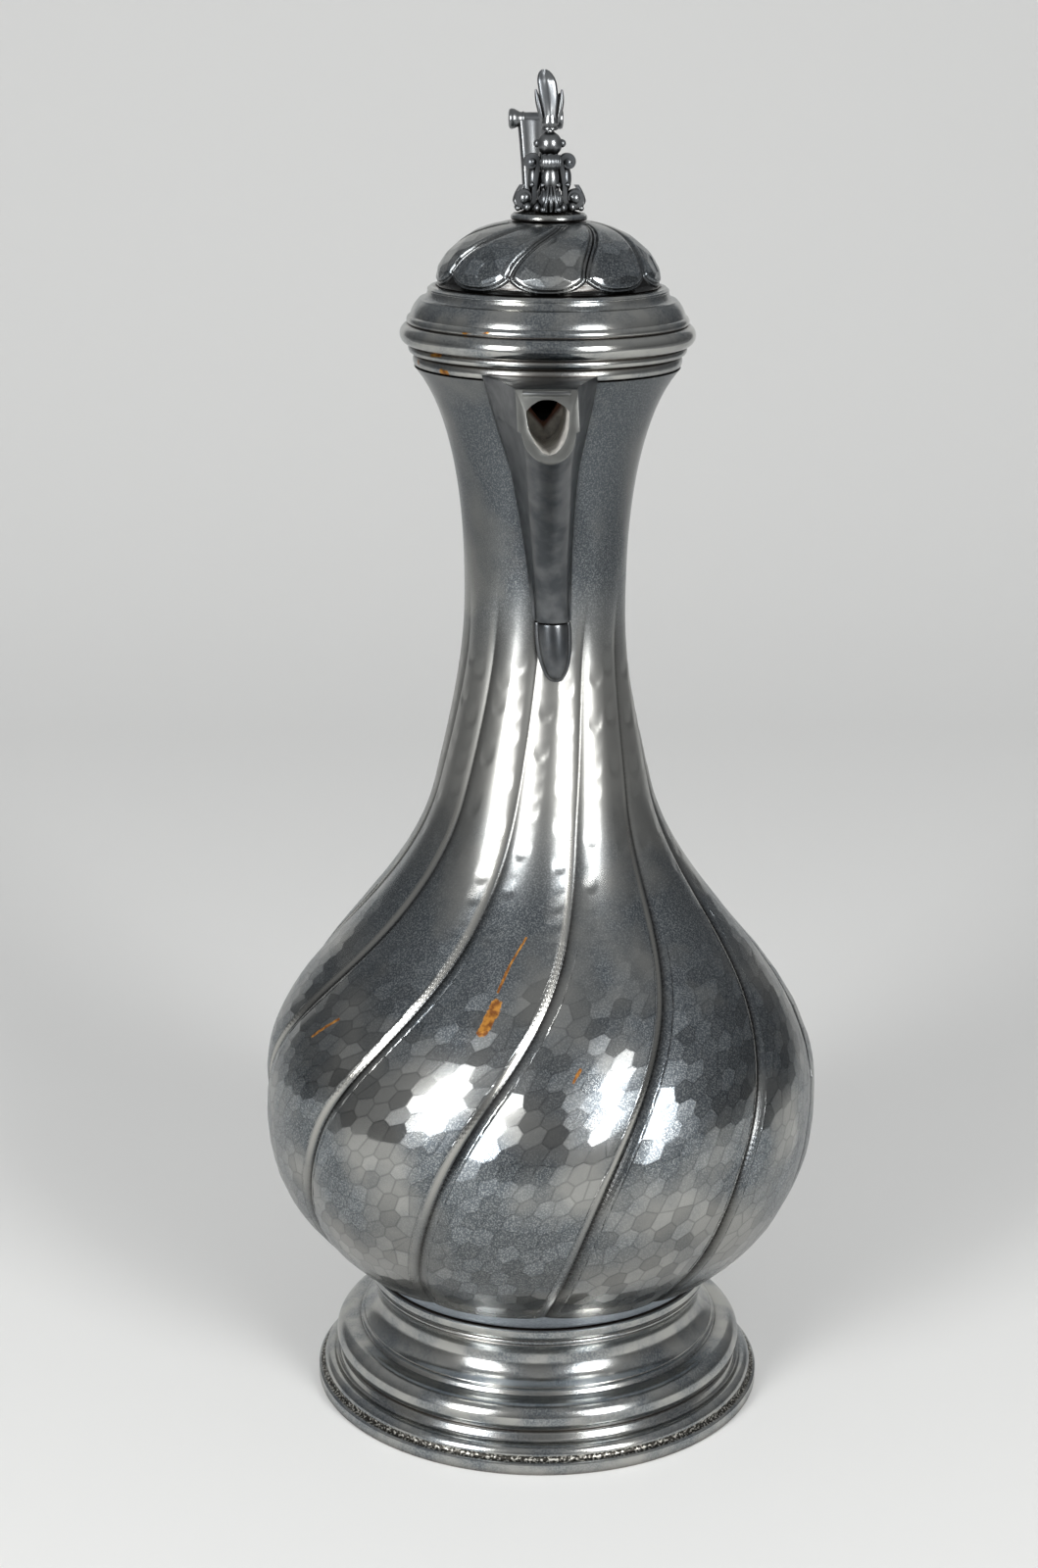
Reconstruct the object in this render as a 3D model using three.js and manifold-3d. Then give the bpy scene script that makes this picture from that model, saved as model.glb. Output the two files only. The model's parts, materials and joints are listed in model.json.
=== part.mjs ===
// Pewter wine jug: twisted and fluted body on a moulded foot, beak spout, loop handle and a
// hinged lid with a lobed dome and a scrolled finial.
// Millimetres, +Z up. The origin is on the jug's axis, at the surface the foot rests on.
// The spout points to -Y, the handle and the hinge are at +Y.

import * as THREE from 'three';
import Module from 'manifold-3d';
import { mergeVertices } from 'three/addons/utils/BufferGeometryUtils.js';

const wasm = await Module();
wasm.setup();

// Clearances
const seam = 0.3; // between soldered or resting neighbours
const pinPlay = 0.25; // round the hinge pin
const knucklePlay = 0.3; // between the hinge's knuckles, along the pin

// Walls
const bodyWall = 1.8;
const footWall = 2.4;
const lidWall = 1.9;
const domeWall = 1.5;
const spoutWall = 1.95;

// Foot and the collar on it
const footRadius = 62;
const footEdge = 3.2;
const footHeight = 29.6;
const waistRadius = 45.6;
const restWidth = 3.2;
const collarHeight = 4.7;
const collarBulge = 1.9;

// Body outline: the radius and the rise of each station above the one before
const baseRadius = 46.3;
const bulgeRadius = 76.6;
const bulgeRise = 50.6;
const shoulderRadius = 56.8;
const shoulderRise = 43.8;
const throatRadius = 29.1;
const throatRise = 44.5;
const neckRadius = 21.25;
const neckRise = 53.2;
const brimRadius = 34.3;
const brimRise = 57.6;
const bottomDip = 7.2; // how far the closed bottom hangs into the foot

// Flutes of the body
const fluteCount = 11;
const fluteDepthBulge = 2.4;
const fluteDepthNeck = 0.9;
const creaseWidth = 2.9;
const creaseShare = 0.6; // rest of the depth is the soft swell of the lobe
const twistRate = 22.6; // degrees per 100 mm of height
const twistSwell = 20; // further degrees gained over the shoulder
const twistSpread = 26.7; // half the height over which they are gained
const firstFlute = -24.5; // degrees from the spout, at the bulge

// Mouth ring
const ringHeight = 3;
const ringRadius = 34.8;
const ringBore = 30.9;

// Spout
const spoutReach = 52;
const spoutLength = 64;
const spoutRootWidth = 29.2;
const mouthWidth = 15.2;
const mouthHeight = 17.6;
const keelWidth = 8.8;
const keelProud = 3.6; // how far the keel's lower end stands off the neck
const plateThickness = 2.6;
const plateBelowRing = 1.7; // top of the spout below the top of the mouth ring
const passageDiameter = 8;
const dropLength = 16.2;
const dropThickness = 3.8;
const spoutLean = 3.6; // degrees, the beak is set a little askew on the neck

// Lid
const lidRadius = 37.9;
const lidLipHeight = 1.9;
const lidRollHeight = 5.6;
const lidShoulderHeight = 6.1;
const lidHollowHeight = 3.2;
const platformRadius = 29.9;
const lidOpening = 24;
const bezelPlay = 0.5;
const bezelDepth = 4.7;
const bezelWall = 1.5;

// Lobed dome
const domeLobes = 9;
const domeRadius = 29.4;
const domeHeight = 15.9;
const domeTopRadius = 11;
const domeGroove = 1.1;
const domeNotch = 1.5;
const domeTwist = 40; // degrees from the edge to the finial
const firstLobe = -24.4;

// Finial
const discRadius = 9.75;
const discHeight = 2.6;
const studRadius = 2;
const nutWidth = 8;
const nutHeight = 2.6;
const stemRadius = 2;
const stemHeight = 18.9;
const ballRadius = 3;
const scrollWidth = 4;
const scrollThickness = 1.3;
const lowerCurl = 2.25;
const upperCurl = 1.45;
const budRadius = 3.4;
const budHeight = 15;
const budLean = 1.3;

// Hinge and thumbpiece
const hingeBehind = 6.1; // pin centre behind the lid's rim
const hingeAboveLip = 1.8;
const pinRadius = 1.5;
const knuckleRadius = 4;
const knuckleWidth = 5.6;
const lugWidth = 4.5;
const pinHead = 2.4;
const armHeight = 3.9;
const armWidth = 9.2;
const thumbHeight = 48.4;
const thumbStemWidth = 8;
const thumbRollWidth = 14.6;
const thumbRollRadius = 2.7;
const thumbLean = -1.2; // the roll sits a little to the left of its foot

// Handle
const handleReach = 76.6;
const handleWidth = 13;
const handleThickness = 9;
const handleFootWidth = 10;
const handleFootThickness = 7.4;
const handleDrop = 146; // from the mouth ring's foot to where the handle meets the bulb

// Facets
const footSides = 32;
const lidSides = 30;
const discSides = 24;
const smallSides = 16;
const barSides = 12;

// Heights, stacked from the ground up
const zCollar = footHeight + seam;
const zBody = zCollar + collarHeight + seam;
const zBulge = zBody + bulgeRise;
const zShoulder = zBulge + shoulderRise;
const zThroat = zShoulder + throatRise;
const zNeck = zThroat + neckRise;
const zBrim = zNeck + brimRise;
const zRing = zBrim + seam;
const zRingTop = zRing + ringHeight;
const zLid = zRingTop + seam;
const zPlatform = zLid + lidLipHeight + lidRollHeight + lidShoulderHeight + lidHollowHeight;
const zDome = zPlatform + seam;
const zDomeTop = zDome + domeHeight;
const zDisc = zDomeTop + seam;
const zStem = zDisc + discHeight + seam;
const zBud = zStem + stemHeight + seam;
const hingeY = lidRadius + hingeBehind;
const hingeZ = zLid + hingeAboveLip;

const degrees = Math.PI / 180;
const jug = new THREE.Group();

// Pewter, by the way each piece was finished
const hammered = { color: 0x8d9092, roughness: 0.34 };
const turned = { color: 0x9a9b98, roughness: 0.28 };
const cast = { color: 0x7c7e7f, roughness: 0.42 };

function addPiece(name, shape, finish) {
  const geometry = shape.isBufferGeometry ? shape : geometryOf(shape);
  const mesh = new THREE.Mesh(geometry, new THREE.MeshStandardMaterial({ metalness: 1, ...finish }));
  mesh.name = name;
  jug.add(mesh);
}

// Closed solid from a geometry: shared vertices are merged, collapsed triangles dropped
function solidOf(geometry) {
  const plain = geometry.clone();
  plain.deleteAttribute('normal');
  plain.deleteAttribute('uv');
  const merged = mergeVertices(plain, 1e-4);
  const index = merged.getIndex().array;
  const kept = [];
  for (let i = 0; i < index.length; i += 3) {
    const [a, b, c] = [index[i], index[i + 1], index[i + 2]];
    if (a !== b && b !== c && c !== a) kept.push(a, b, c);
  }
  const mesh = new wasm.Mesh({
    numProp: 3,
    vertProperties: new Float32Array(merged.getAttribute('position').array),
    triVerts: new Uint32Array(kept),
  });
  return new wasm.Manifold(mesh);
}

function geometryOf(solid) {
  const mesh = solid.getMesh();
  const geometry = new THREE.BufferGeometry();
  geometry.setAttribute('position', new THREE.BufferAttribute(new Float32Array(mesh.vertProperties), 3));
  geometry.setIndex(new THREE.BufferAttribute(new Uint32Array(mesh.triVerts), 1));
  return geometry;
}

// Closed skin through rings of equal count, each running anticlockwise seen from the next one
function loft(rings) {
  const count = rings[0].length;
  const positions = rings.flat().flatMap((point) => [point.x, point.y, point.z]);
  const index = [];
  for (let row = 0; row + 1 < rings.length; row++) {
    for (let i = 0; i < count; i++) {
      const a = row * count + i;
      const b = row * count + ((i + 1) % count);
      index.push(a, b, b + count, a, b + count, a + count);
    }
  }
  for (const [row, flip] of [[0, true], [rings.length - 1, false]]) {
    const centre = new THREE.Vector3();
    for (const point of rings[row]) centre.addScaledVector(point, 1 / count);
    const hub = positions.length / 3;
    positions.push(centre.x, centre.y, centre.z);
    for (let i = 0; i < count; i++) {
      const a = row * count + i;
      const b = row * count + ((i + 1) % count);
      index.push(...(flip ? [hub, b, a] : [hub, a, b]));
    }
  }
  const geometry = new THREE.BufferGeometry();
  geometry.setAttribute('position', new THREE.Float32BufferAttribute(positions, 3));
  geometry.setIndex(index);
  return geometry;
}

// Revolved solid about Z. The outline runs up on the outside and down on the inside.
function revolve(outline, sides = lidSides) {
  const points = outline.map(([r, z]) => new THREE.Vector2(r, z));
  const onAxis = outline[0][0] === 0 && outline.at(-1)[0] === 0;
  if (!onAxis) points.push(points[0].clone());
  return solidOf(new THREE.LatheGeometry(points, sides).rotateX(Math.PI / 2));
}

// Points of a bowed edge between two corners; a positive rise swells to the right of the way
function bow([r0, z0], [r1, z1], rise, count) {
  const length = Math.hypot(r1 - r0, z1 - z0);
  const points = [];
  for (let i = 0; i <= count; i++) {
    const t = i / count;
    const lift = 4 * t * (1 - t) * rise / length;
    points.push([r0 + (r1 - r0) * t + (z1 - z0) * lift, z0 + (z1 - z0) * t - (r1 - r0) * lift]);
  }
  return points;
}

// Point at an angle round the axis, from the spout's side towards +X
function around(radius, angle, z) {
  return new THREE.Vector3(radius * Math.sin(angle), -radius * Math.cos(angle), z);
}

// Outline of a part that is alike at both ends, from its half at positive x
function mirrored(half) {
  return [...half.map(([r, x]) => [r, -x]).reverse(), ...half];
}

// Flat outline in the YZ plane, made as thick as asked and centred on x
function slab(shape, x, width) {
  const geometry = new THREE.ExtrudeGeometry(shape, { depth: width, bevelEnabled: false, curveSegments: 7 });
  const place = new THREE.Matrix4().makeBasis(
    new THREE.Vector3(0, 1, 0), new THREE.Vector3(0, 0, 1), new THREE.Vector3(1, 0, 0));
  return solidOf(geometry.applyMatrix4(place).translate(x - width / 2, 0, 0));
}

function block(x0, x1, y0, y1, z0, z1) {
  const box = new THREE.BoxGeometry(x1 - x0, y1 - y0, z1 - z0);
  return solidOf(box.translate((x0 + x1) / 2, (y0 + y1) / 2, (z0 + z1) / 2));
}

// Body outline as five curves, from the base to the brim
function bezier(start, startAngle, startReach, end, endAngle, endReach) {
  const from = new THREE.Vector2(...start);
  const to = new THREE.Vector2(...end);
  const leave = new THREE.Vector2(Math.cos(startAngle), Math.sin(startAngle)).multiplyScalar(startReach);
  const arrive = new THREE.Vector2(Math.cos(endAngle), Math.sin(endAngle)).multiplyScalar(endReach);
  return new THREE.CubicBezierCurve(from, from.clone().add(leave), to.clone().sub(arrive), to);
}

const upright = 90 * degrees;
const shoulderSlope = 130 * degrees;
const throatSlope = 103 * degrees;
const base = [baseRadius, zBody];
const bulge = [bulgeRadius, zBulge];
const shoulder = [shoulderRadius, zShoulder];
const throat = [throatRadius, zThroat];
const neck = [neckRadius, zNeck];
const brim = [brimRadius, zBrim];
const bowlCurve = bezier(base, 40 * degrees, 0.28 * bulgeRise, bulge, upright, 0.62 * bulgeRise);
const shoulderCurve = bezier(
  bulge, upright, 0.22 * shoulderRise, shoulder, shoulderSlope, 0.69 * shoulderRise);
const throatCurve = bezier(
  shoulder, shoulderSlope, 0.42 * throatRise, throat, throatSlope, 0.39 * throatRise);
const neckCurve = bezier(throat, throatSlope, 0.5 * neckRise, neck, upright, 0.3 * neckRise);
const brimCurve = bezier(neck, upright, 0.615 * brimRise, brim, 48 * degrees, 0.143 * brimRise);

// Outline stations with their inward normals
function stationsOf(curve, steps) {
  const stations = [];
  for (let i = 0; i <= steps; i++) {
    const point = curve.getPoint(i / steps);
    const tangent = curve.getTangent(i / steps);
    stations.push({ r: point.x, z: point.y, inR: -tangent.y, inZ: tangent.x });
  }
  return stations;
}

function joined(...runs) {
  return runs.flatMap((run, i) => (i ? run.slice(1) : run));
}

const fineOutline = joined(
  ...[bowlCurve, shoulderCurve, throatCurve, neckCurve, brimCurve].map((curve) => stationsOf(curve, 24)));

function outlineRadius(z) {
  const above = fineOutline.findIndex((station) => station.z >= z);
  if (above === 0) return fineOutline[0].r;
  if (above < 0) return fineOutline.at(-1).r;
  const [low, high] = [fineOutline[above - 1], fineOutline[above]];
  return low.r + (high.r - low.r) * (z - low.z) / (high.z - low.z);
}

// Twist of the flutes at a height, in radians from the spout towards +X
function fluteTurn(z) {
  const rise = z - zBulge;
  const swell = Math.tanh((rise - 0.8 * shoulderRise) / twistSpread) + 1;
  return (firstFlute + twistRate * rise / 100 + twistSwell / 2 * swell) * degrees;
}

// Depth of the flutes: none at the base, full over the bulb, fading out on the neck
function fluteDepth(z) {
  const start = THREE.MathUtils.smoothstep(z, zBody - 0.1 * bulgeRise, zBody + 0.2 * bulgeRise);
  const fade = 1 - THREE.MathUtils.smoothstep(z, zNeck - 0.3 * neckRise, zNeck + 0.1 * brimRise);
  const size = THREE.MathUtils.clamp((outlineRadius(z) - neckRadius) / (bulgeRadius - neckRadius), 0, 1);
  return start * fade * THREE.MathUtils.lerp(fluteDepthNeck, fluteDepthBulge, size);
}

// Section of a flute: a sharp crease at 0 and 1, and a softly swelling lobe between
function fluteDrop(share, radius) {
  const pitch = 2 * Math.PI * radius / fluteCount;
  const reach = Math.min(share, 1 - share) * pitch;
  return creaseShare * Math.exp(-reach / creaseWidth) + (1 - creaseShare) * (1 - Math.sin(Math.PI * share));
}

const outerShares = [0, 0.07, 0.3, 0.7, 0.93];
const innerShares = [0, 0.5];

function flutedRing(station, shares, inset) {
  const depth = fluteDepth(station.z);
  const turn = fluteTurn(station.z);
  const ring = [];
  for (let flute = 0; flute < fluteCount; flute++) {
    for (const share of shares) {
      const r = station.r + station.inR * inset - depth * fluteDrop(share, station.r);
      const z = station.z + station.inZ * inset;
      ring.push(around(r, turn + (flute + share) / fluteCount * 2 * Math.PI, z));
    }
  }
  return ring;
}

function flutedSkin(stations, shares, inset) {
  return solidOf(loft(stations.map((station) => flutedRing(station, shares, inset))));
}

const bottomStations = [
  { r: 0.05 * baseRadius, z: zBody - bottomDip },
  { r: 0.65 * baseRadius, z: zBody - 0.78 * bottomDip },
  { r: 0.88 * baseRadius, z: zBody - 0.1 },
].map((station) => ({ ...station, inR: 0, inZ: 1 }));
const bowlStations = [...bottomStations, ...stationsOf(bowlCurve, 7)];
const shoulderStations = joined(stationsOf(shoulderCurve, 5), stationsOf(throatCurve, 4));
const neckStations = joined(shoulderStations, stationsOf(neckCurve, 3), stationsOf(brimCurve, 3));

// The whole outside and the whole hollow, cut apart at the bulge where the two halves are soldered
function buildBody() {
  const outside = flutedSkin([...bowlStations, ...neckStations.slice(1)], outerShares, 0);
  const innerBowl = [...bottomStations, ...stationsOf(bowlCurve, 6).slice(1)];
  const hollow = flutedSkin([...innerBowl, ...neckStations.slice(1)], innerShares, bodyWall);
  const mouth = revolve([[0, zBrim - 2 * bodyWall], [brimRadius - 2 * bodyWall, zBrim - 2 * bodyWall],
    [brimRadius - 1.4 * bodyWall, zBrim + seam], [0, zBrim + seam]]);
  const far = 4 * bulgeRadius;
  const halfSeam = seam / 2;
  const shell = outside.subtract(hollow).subtract(mouth);
  const bowl = shell.intersect(block(-far, far, -far, far, 0, zBulge - halfSeam));
  const top = shell.intersect(block(-far, far, -far, far, zBulge + halfSeam, zBrim + seam));
  return { outside, bowl, top };
}

const body = buildBody();
const bodyAllowance = flutedSkin([...bowlStations, ...neckStations.slice(1)], outerShares, -seam);

// Foot: mouldings as shares of its flare and height, between the edge band and the waist
function buildFoot() {
  const flare = footRadius - waistRadius;
  const at = (flareShare, heightShare) => [waistRadius + flareShare * flare, heightShare * footHeight];
  const outside = [
    [footRadius, 0],
    [footRadius, footEdge],
    at(0.94, 0.125),
    ...bow(at(0.92, 0.15), at(0.71, 0.243), 0.035 * footHeight, 2),
    at(0.66, 0.25),
    at(0.63, 0.305),
    ...bow(at(0.575, 0.318), at(0.365, 0.574), 0.062 * footHeight, 4),
    at(0.31, 0.582),
    at(0.28, 0.62),
    ...bow(at(0.2, 0.635), at(0, 0.985), -0.07 * footHeight, 4),
    [waistRadius + 0.3, footHeight],
  ];
  const inner = (flareShare, heightShare) => {
    const [r, z] = at(flareShare, heightShare);
    return [r - footWall, z];
  };
  const inside = [
    [waistRadius - footWall - seam, footHeight],
    inner(-0.04, 0.9),
    inner(0.12, 0.6),
    inner(0.5, 0.3),
    [footRadius - restWidth, 0],
  ];
  return revolve([...outside, ...inside], footSides);
}

function buildCollar() {
  const bore = baseRadius * 0.88 + 2 * seam;
  const top = zCollar + collarHeight;
  return revolve([
    [waistRadius + 0.4, zCollar],
    ...bow([waistRadius + 0.7, zCollar + 0.2], [baseRadius, top - 0.1], collarBulge, 4),
    [baseRadius - 0.4, top],
    [bore, top],
    [waistRadius - footWall, zCollar],
  ], footSides);
}

function buildMouthRing() {
  const lip = 0.5;
  return revolve([
    [ringRadius - lip, zRing],
    [ringRadius, zRing + lip],
    [ringRadius, zRingTop - lip],
    [ringRadius - lip, zRingTop],
    [ringBore, zRingTop],
    [ringBore, zRing],
  ]);
}

// Spout: level sections between the neck and a round nose, cut off flat at the mouth
const plateZ = zRingTop - plateBelowRing;
const keelEndZ = plateZ - spoutLength;
const mouthFloorZ = plateZ - mouthHeight;
const keelStart = outlineRadius(keelEndZ) + keelProud;

function askew(point) {
  const uprightZ = keelEndZ + spoutLength / 6;
  return new THREE.Vector3(point.x + Math.tan(spoutLean * degrees) * (uprightZ - point.z), point.y, point.z);
}

function noseHalfWidth(z) {
  const share = THREE.MathUtils.clamp((z - keelEndZ) / (mouthFloorZ + mouthWidth / 2 - keelEndZ), 0, 1);
  return THREE.MathUtils.lerp(keelWidth, mouthWidth, share ** 2.2) / 2;
}

function rootHalfWidth(z) {
  const share = THREE.MathUtils.clamp((z - keelEndZ) / spoutLength, 0, 1);
  return THREE.MathUtils.lerp(keelWidth * 1.1, spoutRootWidth, share ** 1.9) / 2;
}

// The keel curves out to the mouth; above the mouth's floor the nose runs on at 45 degrees, so that
// the flat cut across it leaves a round-bottomed opening
function keelReach(z) {
  const share = THREE.MathUtils.clamp((z - keelEndZ) / (mouthFloorZ - keelEndZ), 0, 1);
  const beyond = THREE.MathUtils.clamp(z - mouthFloorZ, 0, noseHalfWidth(z));
  return keelStart + (spoutReach - keelStart) * share ** 1.62 + beyond;
}

// One level section, anticlockwise from above; narrow thins it for the hollow inside
function spoutSection(z, inset, narrow, tilt) {
  const nose = (noseHalfWidth(z) - inset) * narrow;
  const root = (rootHalfWidth(z) - inset) * narrow;
  const tip = keelReach(z) - inset;
  const neckHere = outlineRadius(z);
  const backY = -0.55 * neckHere;
  const rootY = -Math.sqrt(neckHere ** 2 - Math.min(root, 0.9 * neckHere) ** 2);
  const noseY = -(tip - noseHalfWidth(z) + inset);
  const side = new THREE.QuadraticBezierCurve(
    new THREE.Vector2(root, rootY),
    new THREE.Vector2(nose + 0.4 * (root - nose), rootY + 0.42 * (noseY - rootY)),
    new THREE.Vector2(nose, noseY));
  const half = [new THREE.Vector2(root, backY), ...side.getPoints(4)];
  for (const angle of [25, 50, 75]) {
    const depth = noseHalfWidth(z) - inset;
    half.push(new THREE.Vector2(nose * Math.cos(angle * degrees), noseY - depth * Math.sin(angle * degrees)));
  }
  const left = half.map((point) => new THREE.Vector2(-point.x, point.y));
  const outline = [...left, ...half.reverse()];
  return outline.map((point) => askew(new THREE.Vector3(point.x, point.y, z + tilt * (point.y + neckHere))));
}

function buildSpout() {
  const rows = 9;
  const rings = [];
  for (let row = 0; row <= rows; row++) {
    const share = row / rows;
    const z = keelEndZ + spoutLength * share;
    const tilt = row === rows ? 0.04 : 0;
    rings.push(spoutSection(z, 0, 1, tilt));
  }
  const archTop = plateZ - plateThickness;
  const archRise = 0.25 * mouthWidth;
  const hollow = [];
  const floor = keelEndZ + 0.3 * spoutLength;
  for (let row = 0; row <= 5; row++) {
    const z = floor + (archTop - archRise - floor) * row / 5;
    hollow.push(spoutSection(z, spoutWall, 1, 0));
  }
  for (const angle of [30, 55, 78]) {
    const z = archTop - archRise * (1 - Math.sin(angle * degrees));
    hollow.push(spoutSection(z, spoutWall, Math.cos(angle * degrees), 0));
  }
  const far = 2 * spoutReach + 4 * mouthWidth;
  const beyondMouth = block(-far, far, -far, -spoutReach, 0, 2 * plateZ);
  return solidOf(loft(rings)).subtract(solidOf(loft(hollow))).subtract(bodyAllowance).subtract(beyondMouth)
    .subtract(ringAllowance());
}

function ringAllowance() {
  const outer = ringRadius + seam;
  return revolve([[0, zBrim - seam], [outer, zBrim - seam], [outer, zRingTop], [0, zRingTop]]);
}

function passage() {
  const drill = new THREE.CylinderGeometry(passageDiameter / 2, passageDiameter / 2, spoutReach, smallSides);
  const centre = askew(new THREE.Vector3(0, -outlineRadius(zRing), zRing - 5.6));
  return solidOf(drill.translate(centre.x, -spoutReach / 2, centre.z));
}

// Cast drop below the keel, soldered to the neck
function buildDrop() {
  const drop = new THREE.SphereGeometry(1, smallSides, 10);
  const bottom = keelEndZ - seam - dropLength;
  const neckHere = outlineRadius(bottom + dropLength / 2);
  const place = askew(new THREE.Vector3(0, -neckHere, bottom + 0.58 * dropLength));
  drop.rotateX(Math.PI / 2).scale(keelWidth / 2, dropThickness, 0.58 * dropLength);
  drop.translate(place.x, place.y, place.z);
  const above = block(-keelWidth, keelWidth, -spoutReach, 0, keelEndZ - seam, keelEndZ + dropLength);
  return solidOf(drop).subtract(bodyAllowance).subtract(above);
}

// Lid: lip, two rolls, a hollow and the platform under the dome
function lidOutside() {
  const zRoll = zLid + lidLipHeight;
  const zShoulderRoll = zRoll + lidRollHeight;
  const zHollow = zShoulderRoll + lidShoulderHeight;
  const lip = lidRadius - 2.3;
  const hollowRadius = lidRadius - 4.6;
  return [
    ...bow([lip, zLid], [lip, zRoll - 0.1], 0.7, 2),
    ...bow([lidRadius - 1.5, zRoll + 0.2], [lidRadius - 1.7, zShoulderRoll - 0.2], 1.6, 4),
    [lidRadius - 2.1, zShoulderRoll],
    ...bow([lidRadius - 1.6, zShoulderRoll + 0.3], [hollowRadius, zHollow - 0.2], 1.2, 4),
    ...bow([hollowRadius - 0.6, zHollow], [platformRadius + 0.9, zPlatform - 0.8], -0.5, 2),
    [platformRadius + 0.5, zPlatform - 0.2],
    [platformRadius, zPlatform],
  ];
}

function buildLid() {
  const bore = ringBore - bezelPlay + seam;
  const zFlange = zLid + lidLipHeight;
  return revolve([
    ...lidOutside(),
    [lidOpening, zPlatform],
    [lidOpening, zPlatform - lidWall],
    [platformRadius - 0.7, zPlatform - lidWall],
    [lidRadius - 3.9, zPlatform - lidHollowHeight - lidShoulderHeight],
    [lidRadius - 3.6, zFlange + 1.8],
    [bore + 1, zFlange],
    [bore, zFlange],
    [bore, zLid],
  ]);
}

function buildBezel() {
  const outer = ringBore - bezelPlay;
  const top = zLid + lidLipHeight;
  const low = zLid - bezelDepth;
  const inner = outer - bezelWall;
  return revolve([[outer - 0.4, low], [outer, low + 0.6], [outer, top], [inner, top], [inner, low]]);
}

// Dome: lobes parted by creases that curl from the notched edge up to the finial
const domeCurve = new THREE.CubicBezierCurve(
  new THREE.Vector2(domeRadius, zDome),
  new THREE.Vector2(domeRadius, zDome + 0.43 * domeHeight),
  new THREE.Vector2(0.76 * domeRadius, zDome + 0.89 * domeHeight),
  new THREE.Vector2(domeTopRadius, zDomeTop));

function domeSkin(inset, sidesPerLobe) {
  const rings = [];
  const rows = 7;
  for (let row = 0; row <= rows; row++) {
    const share = row / rows;
    const point = domeCurve.getPoint(share);
    const tangent = domeCurve.getTangent(share);
    const r = point.x - inset * tangent.y;
    const z = point.y + inset * (row ? tangent.x : -1);
    const inward = (domeRadius - point.x) / (domeRadius - domeTopRadius);
    const turn = (firstLobe + domeTwist * inward ** 1.3) * degrees;
    const groove = domeGroove * (1 - inward ** 3) + domeNotch * Math.max(0, 1 - 4 * share);
    const ring = [];
    for (let i = 0; i < domeLobes * sidesPerLobe; i++) {
      const place = (i % sidesPerLobe) / sidesPerLobe;
      const drop = inset ? groove : groove * (1 - Math.sin(Math.PI * place) ** 0.6);
      const angle = turn + i / (domeLobes * sidesPerLobe) * 2 * Math.PI;
      ring.push(around(r - drop, angle, z));
    }
    rings.push(ring);
  }
  return solidOf(loft(rings));
}

function buildDome() {
  const boreRadius = studRadius + seam;
  const bore = revolve([[0, zDome], [boreRadius, zDome], [boreRadius, zDisc], [0, zDisc]], smallSides);
  return domeSkin(0, 6).subtract(domeSkin(domeWall, 2)).subtract(bore);
}

// Finial
function buildFinialDisc() {
  const stud = domeWall + nutHeight + 2 * seam + 0.6;
  return revolve([
    [0, zDisc - stud],
    [studRadius, zDisc - stud],
    [studRadius, zDisc],
    [discRadius - 0.5, zDisc],
    [discRadius, zDisc + 0.2 * discHeight],
    [discRadius - 0.2, zDisc + 0.45 * discHeight],
    [0.75 * discRadius, zDisc + 0.75 * discHeight],
    [0.5 * discRadius, zDisc + discHeight],
    [0, zDisc + discHeight],
  ], discSides);
}

function buildNut() {
  const corners = [];
  for (let corner = 0; corner < 6; corner++) {
    const angle = corner * 60 * degrees;
    corners.push(new THREE.Vector2(Math.cos(angle), Math.sin(angle)).multiplyScalar(nutWidth / Math.sqrt(3)));
  }
  const outline = new THREE.Shape(corners);
  const hole = new THREE.Path();
  hole.absarc(0, 0, studRadius + seam, 0, 2 * Math.PI, true);
  outline.holes.push(hole);
  const options = { depth: nutHeight, bevelEnabled: false, curveSegments: 8 };
  const geometry = new THREE.ExtrudeGeometry(outline, options);
  return solidOf(geometry.translate(0, 0, zDomeTop - domeWall - seam - nutHeight));
}

function buildStem() {
  const ballZ = zStem + stemHeight - ballRadius;
  const ball = [];
  for (const angle of [-50, -15, 20, 55]) {
    ball.push([ballRadius * Math.cos(angle * degrees), ballZ + ballRadius * Math.sin(angle * degrees)]);
  }
  return revolve([
    [0, zStem],
    [1.3 * stemRadius, zStem],
    [stemRadius, zStem + 0.15 * stemHeight],
    [stemRadius, zStem + 0.55 * stemHeight],
    [0.7 * stemRadius, zStem + 0.62 * stemHeight],
    ...ball,
    [0.5 * stemRadius, zStem + stemHeight],
    [0, zStem + stemHeight],
  ], smallSides);
}

// Flat strap swept along a path in a vertical plane; side is the strap's width direction
function sweepStrap(path, side, width, thickness) {
  const rings = path.map((point, i) => {
    const before = path[Math.max(0, i - 1)];
    const after = path[Math.min(path.length - 1, i + 1)];
    const along = after.clone().sub(before).normalize();
    const across = along.clone().cross(side).multiplyScalar(thickness / 2);
    const half = side.clone().multiplyScalar(width / 2);
    return [[1, -1], [1, 1], [-1, 1], [-1, -1]].map(([a, b]) => (
      point.clone().addScaledVector(half, a).addScaledVector(across, b)));
  });
  return loft(rings);
}

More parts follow.
